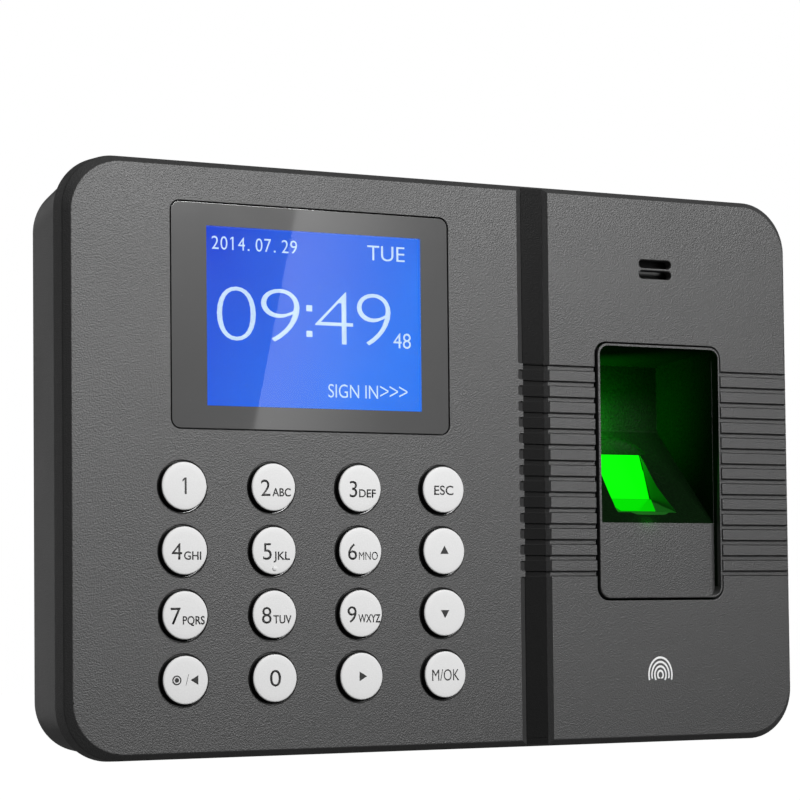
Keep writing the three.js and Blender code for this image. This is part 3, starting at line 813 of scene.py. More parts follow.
class TERMINAL_OT_rear_housing(Operator):
    """Models the drafted rear housing with its tongue, screw wells, hook slots and socket openings"""
    bl_idname = "terminal.rear_housing"
    bl_label = "Rear housing"

    def execute(self, context):
        s = context.scene.terminal_case
        front, rear = FACE + SIDE_D + 0.3, FACE + REAR_D
        shell = round_block("rear", -101.9, 101.9, front, front + 1, -71.0, 71.0, 12.6, 20)

        def draft(obj, y, x, z0, z1):
            """Brings the back face to the given outline."""
            limit = max(v.co.y for v in obj.data.vertices)
            pick(obj, "VERT", lambda v: abs(v.co.y - limit) < 1e-7)
            bm = bmesh.from_edit_mesh(obj.data)
            co = [v.co for v in bm.verts if v.select]
            hx, lo, hi = max(c.x for c in co) / MM, min(c.z for c in co) / MM, max(c.z for c in co) / MM
            bpy.ops.transform.resize(
                value=(x / hx, 1, (z1 - z0) / (hi - lo)), center_override=(0, 0, (lo + hi) / 2 * MM)
            )
            bpy.ops.transform.translate(value=(0, y * MM - limit, ((z0 + z1) - (lo + hi)) / 2 * MM))
            done()

        draft(shell, rear, 100.26, -70.46, 68.53)
        bevel(shell, lambda e: on_plane(e, 1, rear), 1.3, 5)
        bevel(shell, lambda e: on_plane(e, 1, front), 0.25, 3)
        hollow = round_block("hollow", -99.9, 99.9, front - 1, front + 1, -69.0, 69.0, 10.6, 12)
        draft(hollow, rear - 2, 98.26, -68.46, 66.53)
        combine(shell, hollow)
        tongue = round_block("tongue", -100.8, 100.8, FACE + 7.9, FACE + 10, -69.9, 69.9, 11.4, 12)
        reach(tongue, [(-0.01, -0.75, -0.75), (-2.6, 0, 0)])
        combine(tongue, round_block("tongue_hole", -98.5, 98.5, FACE + 4, FACE + 12, -67.5, 67.5, 9, 12))
        combine(shell, tongue, "UNION")
        cutters = []
        for x in HOOK_X:
            for z in HOOK_Z:
                cutters.append(round_block(
                    "hook_slot", x - 5.3, x + 5.3, FACE + 26, rear + 1, z - 8.6, z + 1.8, 0.4, 3
                ))
        for x, z in SCREWS:
            cutters.append(round_bar("screw_well", x, z, FACE + 26.2, rear + 1, 2.7, 32))
        usb = block("usb_mouth", -51.4, -36.6, FACE + 11.1, FACE + 17.9, -75, -66)
        cutters.append(bevel(usb, lambda e: along(e, 2), 0.4, 3))
        deselect()
        bpy.ops.mesh.primitive_cylinder_add(
            vertices=40, radius=4.7 * MM, depth=10 * MM, location=(-14 * MM, (FACE + 16) * MM, -70 * MM)
        )
        cutters.append(settle(bpy.context.object))
        # Vent slots high on the back.
        for i in range(7):
            cutters.append(round_block("vent", 30 + i * 5, 32 + i * 5, FACE + 26, rear + 1, 50, 62, 0.9, 4))
        combine(shell, join(cutters, "cutters"))
        soften(shell, 32)
        paint(
            shell, moulded_plastic("Rear plastic", s.rear_colour, 0.42, s.grain * 1.2, 0.5, 0.15, 0.05, 0.5)
        )
        finish_piece(name_it(shell, "rear_shell"), "case", "rear_plastic", "rear_housing")
        return {"FINISHED"}


# ---------- keys ----------

class TERMINAL_OT_keys(Operator):
    """Models the round keys with their printed legends"""
    bl_idname = "terminal.keys"
    bl_label = "Keys"

    def cap(self, s):
        """One cap at the first key's place: skirt, rounded rim and a faintly crowned top."""
        r, top = s.radius / MM, FACE - s.proud / MM
        cap = round_bar("cap", KEY_X, KEY_Z, FACE + 2.8, FACE + 6, r + 1, 80)
        pick(cap, "FACE", lambda f: f.normal.y < -0.999)
        bpy.ops.mesh.inset(thickness=1 * MM)
        extrude(0, (top + 0.75 - FACE - 2.8), 0)
        extrude(0, -0.75, 0)
        done()
        bevel(cap, lambda e: on_plane(e, 1, top), 0.38, 5)
        pick(cap, "FACE", lambda f: f.normal.y < -0.999 and f.calc_center_median().y < (top + 0.01) * MM)
        for inset, rise in ((1.2, 0.03), (1.5, 0.03), (1.2, 0.015)):
            bpy.ops.mesh.inset(thickness=inset * MM)
            move(0, -rise, 0)
        done()
        return soften(cap, 32)

    def triangle(self, x, z, y, size, turn):
        """A small printed arrow."""
        deselect()
        bpy.ops.mesh.primitive_cylinder_add(
            vertices=3, radius=size * MM, depth=INK * MM, location=(0, 0, 0), rotation=(math.pi / 2, 0, 0)
        )
        arrow = settle(bpy.context.object)
        arrow.rotation_euler = (0, turn, 0)
        arrow.location = (x * MM, y * MM, z * MM)
        return settle(arrow)

    def ring(self, x, z, y):
        """A dot inside a ring."""
        outer = round_bar("ring", x, z, y - INK / 2, y + INK / 2, 1.15, 32)
        combine(outer, round_bar("ring_hole", x, z, y - 1, y + 1, 0.85, 32))
        return [outer, round_bar("dot", x, z, y - INK / 2, y + INK / 2, 0.55, 24)]

    def execute(self, context):
        s = context.scene.terminal_keys
        cap = self.cap(s)
        mats = (
            moulded_plastic("Key cap", s.cap_colour, 0.45, 0.0003, 0.25, 0.03, 0.05),
            moulded_plastic("Key skirt", (0.012, 0.012, 0.012), 0.4, 0.0003, 0.2, 0.1),
            moulded_plastic("Key legend", s.legend_colour, 0.5, 0.0002, 0.1, 0.1),
        )
        top = FACE - s.proud / MM
        paint(cap, *mats)
        paint_where(cap, 1, lambda c, n: n.y > -0.25 or c.y > top + 0.5)
        y = top - 0.095
        for i, (node, big, small) in enumerate(KEYS):
            x, z = key_place(i)
            key = cap.copy()
            key.data = cap.data.copy()
            bpy.context.collection.objects.link(key)
            key.location = ((x - KEY_X) * MM, 0, (z - KEY_Z) * MM)
            settle(key)
            marks = []
            if small:
                wide = LETTERS_WIDE[small]
                start = x - 0.35 - (wide - 4.6) * 0.35
                marks.append(lettering(big, start - 0.5, y, z - 2.15, 3.95, thin=0.002, align="RIGHT"))
                marks.append(lettering(
                    small, start, y, z - 2.15, 1.95, width=wide, thin=0.002 if "M" in small else -0.014,
                    align="LEFT"
                ))
            elif big == "1":
                marks.append(figure_one(x + 0.25, y, z - 1.95, 3.95, 0.5))
            elif big == "0":
                marks.append(lettering(big, x, y, z - 1.95, 3.95, width=2.9, thin=0.002))
            elif big == "ESC":
                marks.append(lettering(big, x, y, z - 1.3, 2.3, width=5.4, thin=-0.008))
            elif big == "M/OK":
                marks.append(lettering(big, x, y, z - 1.5, 2.8, width=7.6, thin=0.003))
            elif node == "left":
                marks += self.ring(x - 2.3, z, y)
                marks.append(lettering("/", x + 0.35, y, z - 1.3, 2.7, thin=0.02))
                marks.append(self.triangle(x + 2.5, z, y, 1.3, -math.pi / 2))
            else:
                marks.append(self.triangle(
                    x, z, y, 1.35, {"up": 0, "down": math.pi, "right": math.pi / 2}[node]
                ))
            if node == "5":
                deselect()
                bpy.ops.mesh.primitive_uv_sphere_add(
                    segments=24, ring_count=12, radius=0.62 * MM, location=(x * MM, top * MM, (z - 4.3) * MM)
                )
                bpy.context.object.scale = (1, 0.55, 1)
                dot = settle(bpy.context.object)
                paint(dot, mats[0])
                soften(dot)
                key = join([key, dot], "dotted")
            for m in marks:
                paint(m, mats[2])
            key = join([key, *marks], "cap_" + node)
            finish_piece(key, "key_" + node, "key_plastic", "key_" + node)
        bpy.data.objects.remove(cap)
        return {"FINISHED"}


# ---------- display ----------

class TERMINAL_OT_display(Operator):
    """Models the display window with its printed border, and the lit screen behind it"""
    bl_idname = "terminal.display"
    bl_label = "Display"

    def execute(self, context):
        s = context.scene.terminal_display
        # The printed border is a frame round the clear middle.
        rim = round_block(
            "print", LENS[0] + 0.3, LENS[1] - 0.3, FACE + 0.1, FACE + 1.6, LENS[2] + 0.3, LENS[3] - 0.3, 2.2,
            8
        )
        bevel(rim, lambda e: on_plane(e, 1, FACE + 0.1), 0.1, 2)
        combine(
            rim,
            round_block(
                "clear", LCD[0] - 0.1, LCD[1] + 0.1, FACE - 1, FACE + 3, LCD[2] - 0.1, LCD[3] + 0.1, 0.15, 2
            )
        )
        pane = block(
            "pane", LCD[0] - 0.08, LCD[1] + 0.08, FACE + 0.1, FACE + 1.6, LCD[2] - 0.08, LCD[3] + 0.08
        )
        soften(rim, 32)
        paint(rim, smooth_finish("Window print", s.border_colour, 0.22, 0, 0.02, 1.0, 0.02))
        paint(pane, clear_lens("Window lens"))
        finish_piece(name_it(rim, "window_border"), "case", "window", "display_window")
        finish_piece(name_it(pane, "window_pane"), "case", "window", "display_window")

        screen = block(
            "screen", LCD[0] - 1.2, LCD[1] + 1.2, FACE + 2.0, FACE + 3.4, LCD[2] - 1.2, LCD[3] + 1.2
        )
        bevel(screen, lambda e: on_plane(e, 1, FACE + 2.0), 0.1, 2)
        soften(screen)
        paint(screen, lit_screen("Lit screen", s.screen_colour))
        finish_piece(name_it(screen, "lit_screen"), "case", "display", "lcd_panel")

        ink = lit_surface("Screen figures", (0.62, 0.8, 1.0), 0.95, 0.4)
        y = FACE + 1.97
        left, low = LCD[0], LCD[2]
        figures = row_of_figures(s.date_text, left + 1.6, y, low + 37.9, 3.2, 2.31, 0.004)
        figures.append(lettering(
            s.day_text, left + 54.0, y, low + 37.4, 3.7, width=10.4, thin=0.004, align="RIGHT"
        ))
        hours, minutes = s.time_text.split(":")
        for figure, x0, x1 in zip(hours + minutes, (3.1, 14.7, 29.2, 40.6), (13.3, 25.0, 39.5, 49.9)):
            if figure == "1":
                figures.append(figure_one(left + (x0 + x1) / 2, y, low + 15.65, 13.4, 1.35))
            else:
                figures.append(lettering(
                    figure, left + (x0 + x1) / 2, y, low + 15.65, 13.4, width=x1 - x0, thin=0.023
                ))
        for z in (17.6, 23.9):
            figures.append(block(
                "colon", left + 26.8, left + 28.4, y - INK / 2, y + INK / 2, low + z, low + z + 1.5
            ))
        figures.append(lettering(
            s.seconds_text, left + 55.5, y, low + 15.7, 3.8, width=4.9, thin=0.004, align="RIGHT"
        ))
        words, arrows = s.prompt_text.split(">")[0].strip(), s.prompt_text.count(">")
        figures.append(lettering(
            words, left + 46.2, y, low + 2.9, 3.3, width=13.6, thin=0.004, align="RIGHT"
        ))
        for i in range(arrows):
            figures.append(lettering(
                ">", left + 54.4 - 2.65 * (arrows - 1 - i), y, low + 2.7, 3.5, width=2.3, thin=0.01,
                align="RIGHT"
            ))
        words = join(figures, "screen_figures")
        paint(words, ink)
        finish_piece(words, "case", "display")
        return {"FINISHED"}


# ---------- finger scanner ----------

class TERMINAL_OT_scanner(Operator):
    """Models the scanner's rim, its sloped finger well and the lit window"""
    bl_idname = "terminal.scanner"
    bl_label = "Finger scanner"

    def execute(self, context):
        s = context.scene.terminal_scanner
        case = context.scene.terminal_case
        x0, x1, z0, z1 = RIM
        bezel = round_block("bezel", x0, x1, FACE - 0.3, FACE + 2, z0, z1, 3, 12)
        reach(bezel, [(-0.12, -0.03, -0.03), (-0.1, -0.08, -0.08), (-0.06, -0.14, -0.14)])
        reach(bezel, [(25.4, -0.6, -0.3)], side=1)
        flange = round_block("flange", x0 - 2.4, x1 + 2.4, FACE + 2.8, FACE + 4.2, z0 - 2.4, z1 + 2.4, 4, 6)
        combine(bezel, flange, "UNION")

        # Space behind the shelf and the slope.
        run = (WELL_D - SHELF_D) / (WELL_BACK_Z - SHELF_EDGE_Z)
        pocket = block("pocket", x0 + 2.2, x1 - 2.2, FACE + SHELF_D + 1.8, FACE + WELL_D + 4, -32.4, 30)
        cut_open(pocket, (0, (FACE + SHELF_D) * MM, (SHELF_EDGE_Z - 3.0) * MM), (0, -1, run))
        combine(bezel, pocket)

        # The upper well: drafted walls, cut off by the slope.
        w = 0.62
        well = block("well", x0 + w, x1 - w, FACE + 0.9, FACE + WELL_D, z0 + w, z1 - w)
        pick(well, "FACE", lambda f: f.normal.y > 0.999)
        bpy.ops.transform.resize(
            value=(31.9 / (x1 - x0 - 2 * w), 1, (29.2 + 31.5) / (z1 - w + 31.5)),
            center_override=(60.55 * MM, 0, -31.5 * MM)
        )
        done()
        cut_open(well, (0, (FACE + SHELF_D) * MM, SHELF_EDGE_Z * MM), (0, -1, run), keep="above")

        def round_the_back(e):
            at_back = all(v.co.y > (FACE + WELL_D - 0.2) * MM for v in e.verts)
            return at_back and (along(e, 0) or along(e, 2))

        bevel(well, round_the_back, 0.3, 3)
        combine(bezel, well)
        brow = round_block("brow", x0 + w, x1 - w, FACE - 2, FACE + 1.0, z0 + w, z1 - w, 2.5, 10)
        combine(bezel, brow)
        shelf = round_block("shelf", x0 + w, x1 - w, FACE - 2, FACE + SHELF_D, z0 + w, z1 - w, 2.4, 10)
        combine(bezel, shelf)
        bevel(
            bezel,
            lambda e: along(e, 0) and on_plane(
                e, 1, FACE + SHELF_D, 0.02
            ) and on_plane(e, 2, SHELF_EDGE_Z, 0.03),
            0.35, 4
        )

        # Housing round the finger recess, behind the slope.
        p = PLATEN
        tilt = math.atan2(p["d1"] - p["d0"], p["z1"] - p["z0"])
        shell = block(
            "shell", p["x"] - p["mouth"] - 1.4, p["x"] + p["mouth"] + 1.4, FACE + 5.4, FACE + p["d0"] + 0.25,
            p["z0"] - 1.4, p["z1"] + 1.0
        )
        pick(shell, "VERT", lambda v: v.co.y > (FACE + p["d0"]) * MM and v.co.z > 0)
        move(0, p["d1"] - p["d0"], 0)
        done()
        pick(shell, "VERT", lambda v: v.co.y < (FACE + 6) * MM and v.co.z < 0)
        move(0, 0, -4.2)
        done()
        cut_open(shell, (0, (FACE + SHELF_D) * MM, (SHELF_EDGE_Z - 0.4) * MM), (0, -1, run))
        combine(bezel, shell, "UNION")

        # A solid pad behind the slope, above the window, for the hood to be cut into.
        pad = block("pad", p["x"] - 12.5, p["x"] + 12.5, FACE + 16, FACE + 27, p["z1"] - 0.1, 11.0)
        cut_open(pad, (0, (FACE + SHELF_D) * MM, (SHELF_EDGE_Z - 0.4) * MM), (0, -1, run))
        combine(bezel, pad, "UNION")

        # Shallow oval dish round the recess, and the arched hood above the window.
        slope = math.atan2(WELL_BACK_Z - SHELF_EDGE_Z, WELL_D - SHELF_D)
        for name, x, d, rx, rs, rn, lift in (
            ("dish", p["x"] + 0.9, 11.2, 13.4, 12.8, 1.1, 0.6),
            ("hood", p["x"] + 0.2, 19.4, 9.3, 7.6, 2.8, 0.4)
        ):
            deselect()
            bpy.ops.mesh.primitive_uv_sphere_add(segments=64, ring_count=32, radius=MM)
            dish = name_it(bpy.context.object, name)
            dish.scale = (rx, rn, rs)
            settle(dish)
            # Its short axis is turned square to the slope.
            dish.rotation_euler = (slope - math.pi / 2, 0, 0)
            z = SHELF_EDGE_Z + (d - SHELF_D) / run
            out = Vector((0, -math.sin(slope), math.cos(slope))) * lift
            dish.location = (Vector((x, FACE + d, z)) + out) * MM
            settle(dish)
            if name == "hood":
                cut_open(dish, (0, 0, (p["z1"] + 0.05) * MM), (0, 0, 1), keep="above")
            combine(bezel, dish)

        recess = block(
            "recess", p["x"] - p["half"], p["x"] + p["half"], FACE + 3.9, FACE + p["d0"], p["z0"], p["z1"]
        )
        corners = (
            (lambda v: v.co.y > (FACE + 10) * MM and v.co.z > 0, p["top"] / p["half"], p["d1"] - p["d0"], 0),
            (lambda v: v.co.y < (FACE + 5) * MM and v.co.z > 0, 7.55 / p["half"], 0, 0),
            (lambda v: v.co.y < (FACE + 5) * MM and v.co.z < 0, p["mouth"] / p["half"], 0, -RECESS_FALL),
        )
        for corner, widen, move_y, move_z in corners:
            pick(recess, "VERT", corner)
            bpy.ops.transform.resize(value=(widen, 1, 1), center_override=(p["x"] * MM, 0, 0))
            move(0, move_y, move_z)
            done()

        def lower_left(e):
            start, end = e.verts[0].co, e.verts[1].co
            return abs((end - start).normalized().y) > 0.8 and start.z < 0 and start.x < p["x"] * MM

        bevel(recess, lower_left, 0.6, 4)
        reach_back = Vector((0, math.cos(tilt), math.sin(tilt))) * 0.9 * MM
        pick(recess, "FACE", lambda f: f.normal.y > 0.7 and f.calc_center_median().y > (FACE + 15) * MM)
        bpy.ops.mesh.extrude_region_move(TRANSFORM_OT_translate={"value": reach_back})
        done()
        combine(bezel, recess)

        grey = bpy.data.materials["Cover plastic"]
        # The well plastic is darker and greener than the cover: painted shade inside the deep well, and
        # painted green light from the scanner's lamp.
        dark = moulded_plastic("Well plastic with painted shade and glow", s.well_shade_and_glow, 0.45, case.grain * 1.5, 1.0, 0.4, 0.05, 0.03)
        # The recess's wall and floor colours are painted green light from the lit window.
        recess_wall_glow = smooth_finish("Recess wall painted glow", (0.02, 0.07, 0.02), 0.3, 0, 0.04)
        recess_floor_glow = smooth_finish("Recess floor painted glow", (0.008, 0.09, 0.008), 0.35, 0, 0.03)
        paint(bezel, grey, dark, recess_wall_glow, recess_floor_glow)
        # Faces inside the rim below its ridge, and all faces further back, take the well plastic with its
        # painted shade and green light.
        inside = lambda c: x0 + w - 0.1 < c.x < x1 - w + 0.1 and c.z > SHELF_EDGE_Z - 0.2
        paint_where(bezel, 1, lambda c, n: inside(c) and c.y > FACE - 0.15 or c.y > FACE + SHELF_D + 0.3)

        # The recess's floor and side walls are painted a brighter green than the well: painted green light
        # from the lit window.
        down = Vector((0, -RECESS_RUN, -RECESS_FALL)).normalized()
        floor_n = Vector((0, -RECESS_FALL, RECESS_RUN)).normalized()
        foot = Vector((0, FACE + p["d0"], p["z0"]))

        def in_recess(c):
            forward, above = (c - foot).dot(down), (c - foot).dot(floor_n)
            return -1.2 < forward < 12 and -0.3 < above < 12.5 and abs(c.x - p["x"]) < p["mouth"]

        paint_where(bezel, 2, lambda c, n: in_recess(c) and abs(n.x) > 0.7)
        paint_where(
            bezel, 3, lambda c, n: in_recess(c) and n.dot(floor_n) > 0.9 and (c - foot).dot(floor_n) < 0.5
        )
        soften(bezel, 32, flat=3)
        finish_piece(name_it(bezel, "scanner_rim"), "case", "bezel_plastic", "scanner_bezel")

        # The lit window, a block of clear plastic behind the recess.
        glass = block(
            "glass", p["x"] - 8.5, p["x"] + 8.5, FACE + p["d0"] + 0.32, FACE + 23, p["z0"] - 1.2,
            p["z1"] - 0.2
        )
        pick(glass, "VERT", lambda v: v.co.y < (FACE + 16.5) * MM and v.co.z > 0)
        move(0, p["d1"] - p["d0"], 0)
        done()
        bevel(
            glass, lambda e: e.verts[0].co.y < (FACE + 20) * MM and e.verts[1].co.y < (FACE + 20) * MM, 0.15,
            2
        )
        soften(glass)
        paint(glass, lit_surface("Scanner window", s.glow_colour, s.glow, 0.1, 0.1))

        # A glowing sheet lying on the recess's floor and narrowing towards the front: a painted pool of the
        # window's green light on the floor.
        floor_glow_sheet = block(
            "floor_glow_sheet", p["x"] - p["half"] + 0.1, p["x"] + p["half"] - 0.05, FACE + 5.8, FACE + p["d0"] - 0.05,
            p["z0"] + 0.06, p["z0"] + 0.2
        )
        in_front = lambda v: v.co.y < (FACE + 7) * MM
        pick(floor_glow_sheet, "VERT", in_front)
        move(0, 0, -3.45)
        done()
        pick(floor_glow_sheet, "VERT", lambda v: in_front(v) and v.co.x > p["x"] * MM)
        move(-4.6, 0, 0)
        done()
        # The sheet's glow is painted light: the window's green light on the recess floor.
        paint(floor_glow_sheet, lit_surface("Scanner floor glow", s.glow_colour, s.glow * 0.58, 0.1, 0.1))
        glass = join([glass, floor_glow_sheet], "glass")
        finish_piece(name_it(glass, "scanner_window"), "case", "prism", "scanner_prism")
        return {"FINISHED"}


# ---------- small marks ----------

class TERMINAL_OT_mark(Operator):
    """Prints a plain fingerprint sign below the scanner"""
    bl_idname = "terminal.mark"
    bl_label = "Printed sign"

    def execute(self, context):
        arcs = []
        cx, cz = 60.2, -54.2
        for i, r in enumerate((0.95, 2.0, 3.05, 4.1)):
            deselect()
            bpy.ops.mesh.primitive_torus_add(
                major_segments=64, minor_segments=8, major_radius=r * MM, minor_radius=0.27 * MM,
                location=(0, 0, 0), rotation=(math.pi / 2, 0, 0)
            )
            ring = settle(bpy.context.object)
            ring.scale = (0.86, 0.1, 1.1)
            ring.location = (cx * MM, (FACE + 0.005) * MM, cz * MM)
            settle(ring)
            cut_z = cz - 0.4 * (i % 2) - 0.9
            cut_open(ring, (0, 0, cut_z * MM), (0, 0, 1), keep="above")
            arcs.append(ring)
        sign = join(arcs, "printed_sign")
        paint(sign, moulded_plastic("White print", (0.8, 0.8, 0.8), 0.5, 0.0003, 0.1, 0.03))
        finish_piece(sign, "case", "key_plastic")
        return {"FINISHED"}


# ---------- carried-over parts ----------

class TERMINAL_OT_inner_parts(Operator):
    """Gives the board, fasteners, sockets, wall plate and other frame parts their finishes"""
    bl_idname = "terminal.inner_parts"
    bl_label = "Inner parts"

    def execute(self, context):
        finishes = [
            (
                smooth_finish("Solder mask", (0.02, 0.14, 0.05), 0.35, 0, 0.08, 0.3),
                ["main_board", "scanner_board"]
            ),
            (
                moulded_plastic("Chip resin", (0.02, 0.02, 0.02), 0.5, 0.0002),
                ["main_chip", "memory_chip", "coin_cell_holder"]
            ),
            (
                smooth_finish("Bright steel", (0.72, 0.72, 0.72), 0.25, 1),
                ["coin_cell", "usb_socket", *(f"board_screw_{i}" for i in range(1, 5))]
            ),
            (
                smooth_finish("Black steel", (0.06, 0.06, 0.065), 0.38, 1),
                [f"case_screw_{i}" for i in range(1, 7)]
            ),
            (smooth_finish("Zinc sheet", (0.55, 0.57, 0.58), 0.38, 1, 0.12), ["wall_plate"]),
            (
                moulded_plastic("Socket resin", (0.015, 0.015, 0.015), 0.45, 0.0002),
                ["dc_jack", "scanner_housing", "scanner_camera", "speaker"]
            ),
            (moulded_plastic("Silicone", (0.3, 0.3, 0.3), 0.7, 0.0005, 0.2), ["keypad_mat"]),
            (moulded_plastic("Foam", (0.03, 0.03, 0.03), 0.9, 0.0006, 0.8), ["speaker_gasket"]),
            (smooth_finish("Tin plate", (0.7, 0.7, 0.7), 0.3, 1), ["lcd_frame"]),
            (smooth_finish("Amber film", (0.5, 0.22, 0.04), 0.3), ["lcd_ribbon"]),
            (smooth_finish("Red wire", (0.45, 0.02, 0.02), 0.45), ["speaker_wire_red"]),
            (smooth_finish("Black wire", (0.02, 0.02, 0.02), 0.45), ["speaker_wire_black", "scanner_cable"]),
            (lit_surface("Clear lamp", (0.2, 1.0, 0.25), 1.0), ["scanner_led_left", "scanner_led_right"]),
        ]
        for material, nodes in finishes:
            for node in nodes:
                paint(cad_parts[node], material)
        return {"FINISHED"}


# ---------- stage ----------

class TERMINAL_OT_stage(Operator):
    """Sets the camera, the soft lights and a plain pale floor"""
    bl_idname = "terminal.stage"
    bl_label = "Stage"

    def camera(self):
        yaw, pitch, roll = map(math.radians, CAMERA_TURN)
        forward = Vector((math.sin(yaw) * math.cos(pitch), math.cos(yaw) * math.cos(pitch), -math.sin(pitch)))
        right = Vector((math.cos(yaw), -math.sin(yaw), 0))
        up = right.cross(forward)
        cos, sin = math.cos(roll), math.sin(roll)
        right, up = cos * right + sin * up, -sin * right + cos * up
        data = bpy.data.cameras.new("camera")
        data.lens, data.sensor_width, data.shift_y = CAMERA_LENS, 36, CAMERA_SHIFT
        data.clip_start, data.clip_end = 0.01, 50
        cam = bpy.data.objects.new("camera", data)
        bpy.context.scene.collection.objects.link(cam)
        turn = Matrix((right, up, -forward)).transposed()
        cam.matrix_world = Matrix.Translation(CAMERA_PLACE) @ turn.to_4x4()
        bpy.context.scene.camera = cam

    def panel_light(self, name, place, aim, size, power, colour=(1, 1, 1)):
        data = bpy.data.lights.new(name, "AREA")
        data.shape, data.size, data.size_y = "RECTANGLE", size[0], size[1]
        data.energy, data.color = power, colour
        light = bpy.data.objects.new(name, data)
        bpy.context.scene.collection.objects.link(light)
        light.location = place
        light.rotation_euler = (Vector(aim) - Vector(place)).to_track_quat("-Z", "Y").to_euler()
        light.visible_camera = False
        return light

    def well_light(self, name, place, radius, power):
        data = bpy.data.lights.new(name, "POINT")
        data.energy, data.color, data.shadow_soft_size = power, LAMP_GREEN, radius * MM
        light = bpy.data.objects.new(name, data)
        bpy.context.scene.collection.objects.link(light)
        light.location = Vector(place) * MM
        light.visible_camera = light.visible_glossy = False
        return light

    def reflector(self):
        """A slanted bright card, seen only as the streak across the display window."""
        deselect()
        bpy.ops.mesh.primitive_plane_add(size=1, location=(0, 0, 0), rotation=(math.pi / 2, 0, 0))
        card = name_it(bpy.context.object, "reflector_card")
        card.scale = (0.26, 0.3, 1)
        settle(card)
        pick(card, "VERT", lambda v: v.co.z > 0)
        bpy.ops.transform.translate(value=(0.065, 0, 0))
        done()
        card.location = (0.317, FACE * MM - 0.6, 0.11)
        settle(card)
        mat = bpy.data.materials.new("Card glow")
        mat.use_nodes = True
        tree = mat.node_tree
        tree.nodes.remove(tree.nodes["Principled BSDF"])
        coord = add_node(tree, "ShaderNodeTexCoord", -900, 0)
        split = add_node(tree, "ShaderNodeSeparateXYZ", -700, 0)
        # Distance from the slanted edge.
        lean = add_node(tree, "ShaderNodeMath", -500, 0, operation="MULTIPLY_ADD")
        lean.inputs[1].default_value = -0.065 / 0.3
        fade = add_node(tree, "ShaderNodeMapRange", -300, 0)
        fade.interpolation_type = "SMOOTHSTEP"
        fade.inputs["From Min"].default_value, fade.inputs["From Max"].default_value = 0.19, 0.28
        fade.inputs["To Min"].default_value, fade.inputs["To Max"].default_value = 2.3, 0.2
        glow = add_node(tree, "ShaderNodeEmission", -100, 0)
        tree.links.new(coord.outputs["Object"], split.inputs[0])
        tree.links.new(split.outputs["Z"], lean.inputs[0])
        tree.links.new(split.outputs["X"], lean.inputs[2])
        tree.links.new(lean.outputs[0], fade.inputs["Value"])
        tree.links.new(fade.outputs["Result"], glow.inputs["Strength"])
        tree.links.new(glow.outputs[0], tree.nodes["Material Output"].inputs["Surface"])
        paint(card, mat)
        card.visible_camera = card.visible_diffuse = card.visible_shadow = card.visible_transmission = False

    def execute(self, context):
        s = context.scene.terminal_stage
        self.camera()
        context.scene.view_settings.view_transform = "Standard"
        low = CAD_BOX[0].z - s.floor_drop
        deselect()
        bpy.ops.mesh.primitive_circle_add(vertices=96, radius=6, fill_type="NGON", location=(0, 0, low))
        floor = name_it(bpy.context.object, "floor")
        settle(floor)
        pale = moulded_plastic("Floor paint", (0.9, 0.9, 0.9), 0.7, 0.004, 0.05, 0.01)
        shader = pale.node_tree.nodes["Principled BSDF"]
        shader.inputs["Emission Color"].default_value = (1, 1, 1, 1)
        shader.inputs["Emission Strength"].default_value = 0.9
        paint(floor, pale)
        floor.visible_diffuse = floor.visible_glossy = False
        self.panel_light("softbox", *SOFTBOX, s.key_power)
        self.panel_light("rim_light", *RIM_LIGHT, s.rim_power)
        self.panel_light("back_light", *BACK_LIGHT, s.back_power)
        place = [v * MM for v in (51.0, FACE + 17, 11.5)]
        aim = [v * MM for v in (58, FACE + 30, 15.5)]
        glow = self.panel_light("well_glow", place, aim, (0.003, 0.003), s.well_power, LAMP_GREEN)
        glow.visible_glossy = False
        slope = self.well_light("slope_glow", (53.5, FACE + 12, 4), 2.0, s.well_power * 0.03)
        shelf = self.well_light("shelf_glow", (58.5, FACE + 1.1, -13.2), 0.8, s.well_power * 0.03)
        # The scanner's own lamps stay inside the well when the case is lifted off.
        for lamp in (glow, slope, shelf):
            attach(lamp, "case")
        self.reflector()
        world = bpy.data.worlds.new("surroundings")
        world.use_nodes = True
        tree = world.node_tree
        back = tree.nodes["Background"]
        back.inputs["Color"].default_value = (1, 1, 1, 1)
        path = add_node(tree, "ShaderNodeLightPath", -600, 0)
        level = add_node(tree, "ShaderNodeMapRange", -300, 0)
        level.inputs["To Min"].default_value, level.inputs["To Max"].default_value = s.sky, 1.0
        tree.links.new(path.outputs["Is Camera Ray"], level.inputs["Value"])
        tree.links.new(level.outputs["Result"], back.inputs["Strength"])
        context.scene.world = world
        return {"FINISHED"}


class TERMINAL_PT_panel(Panel):
    """Lists the terminal's pieces"""
    bl_idname = "TERMINAL_PT_panel"
    bl_label = "Fingerprint terminal"
    bl_space_type = "VIEW_3D"
    bl_region_type = "UI"
    bl_category = "Terminal"

    def draw(self, context):
        column = self.layout.column()
        for operator in OPERATORS:
            column.operator(operator.bl_idname)


OPERATORS = (
    TERMINAL_OT_stage,
    TERMINAL_OT_front_cover,
    TERMINAL_OT_rear_housing,
    TERMINAL_OT_keys,
    TERMINAL_OT_display,
    TERMINAL_OT_scanner,
    TERMINAL_OT_mark,
    TERMINAL_OT_inner_parts,
)
SETTINGS = {
    "terminal_case": CaseSettings,
    "terminal_keys": KeySettings,
    "terminal_display": DisplaySettings,
    "terminal_scanner": ScannerSettings,
    "terminal_stage": StageSettings,
}


def register():
    for cls in (*SETTINGS.values(), *OPERATORS, TERMINAL_PT_panel):
        bpy.utils.register_class(cls)
    for name, cls in SETTINGS.items():
        setattr(bpy.types.Scene, name, PointerProperty(type=cls))


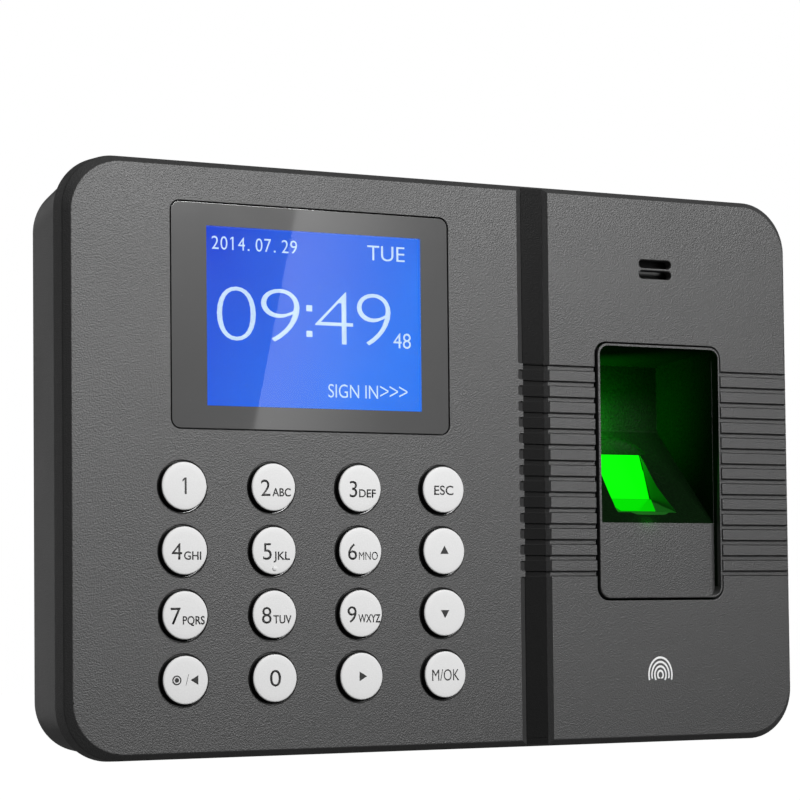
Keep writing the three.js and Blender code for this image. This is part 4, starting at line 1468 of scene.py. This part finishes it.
def unregister():
    for name in SETTINGS:
        delattr(bpy.types.Scene, name)
    for cls in reversed((*SETTINGS.values(), *OPERATORS, TERMINAL_PT_panel)):
        bpy.utils.unregister_class(cls)


def main():
    register()
    for operator in OPERATORS:
        group, name = operator.bl_idname.split(".")
        getattr(getattr(bpy.ops, group), name)()


if __name__ == "__main__":
    main()
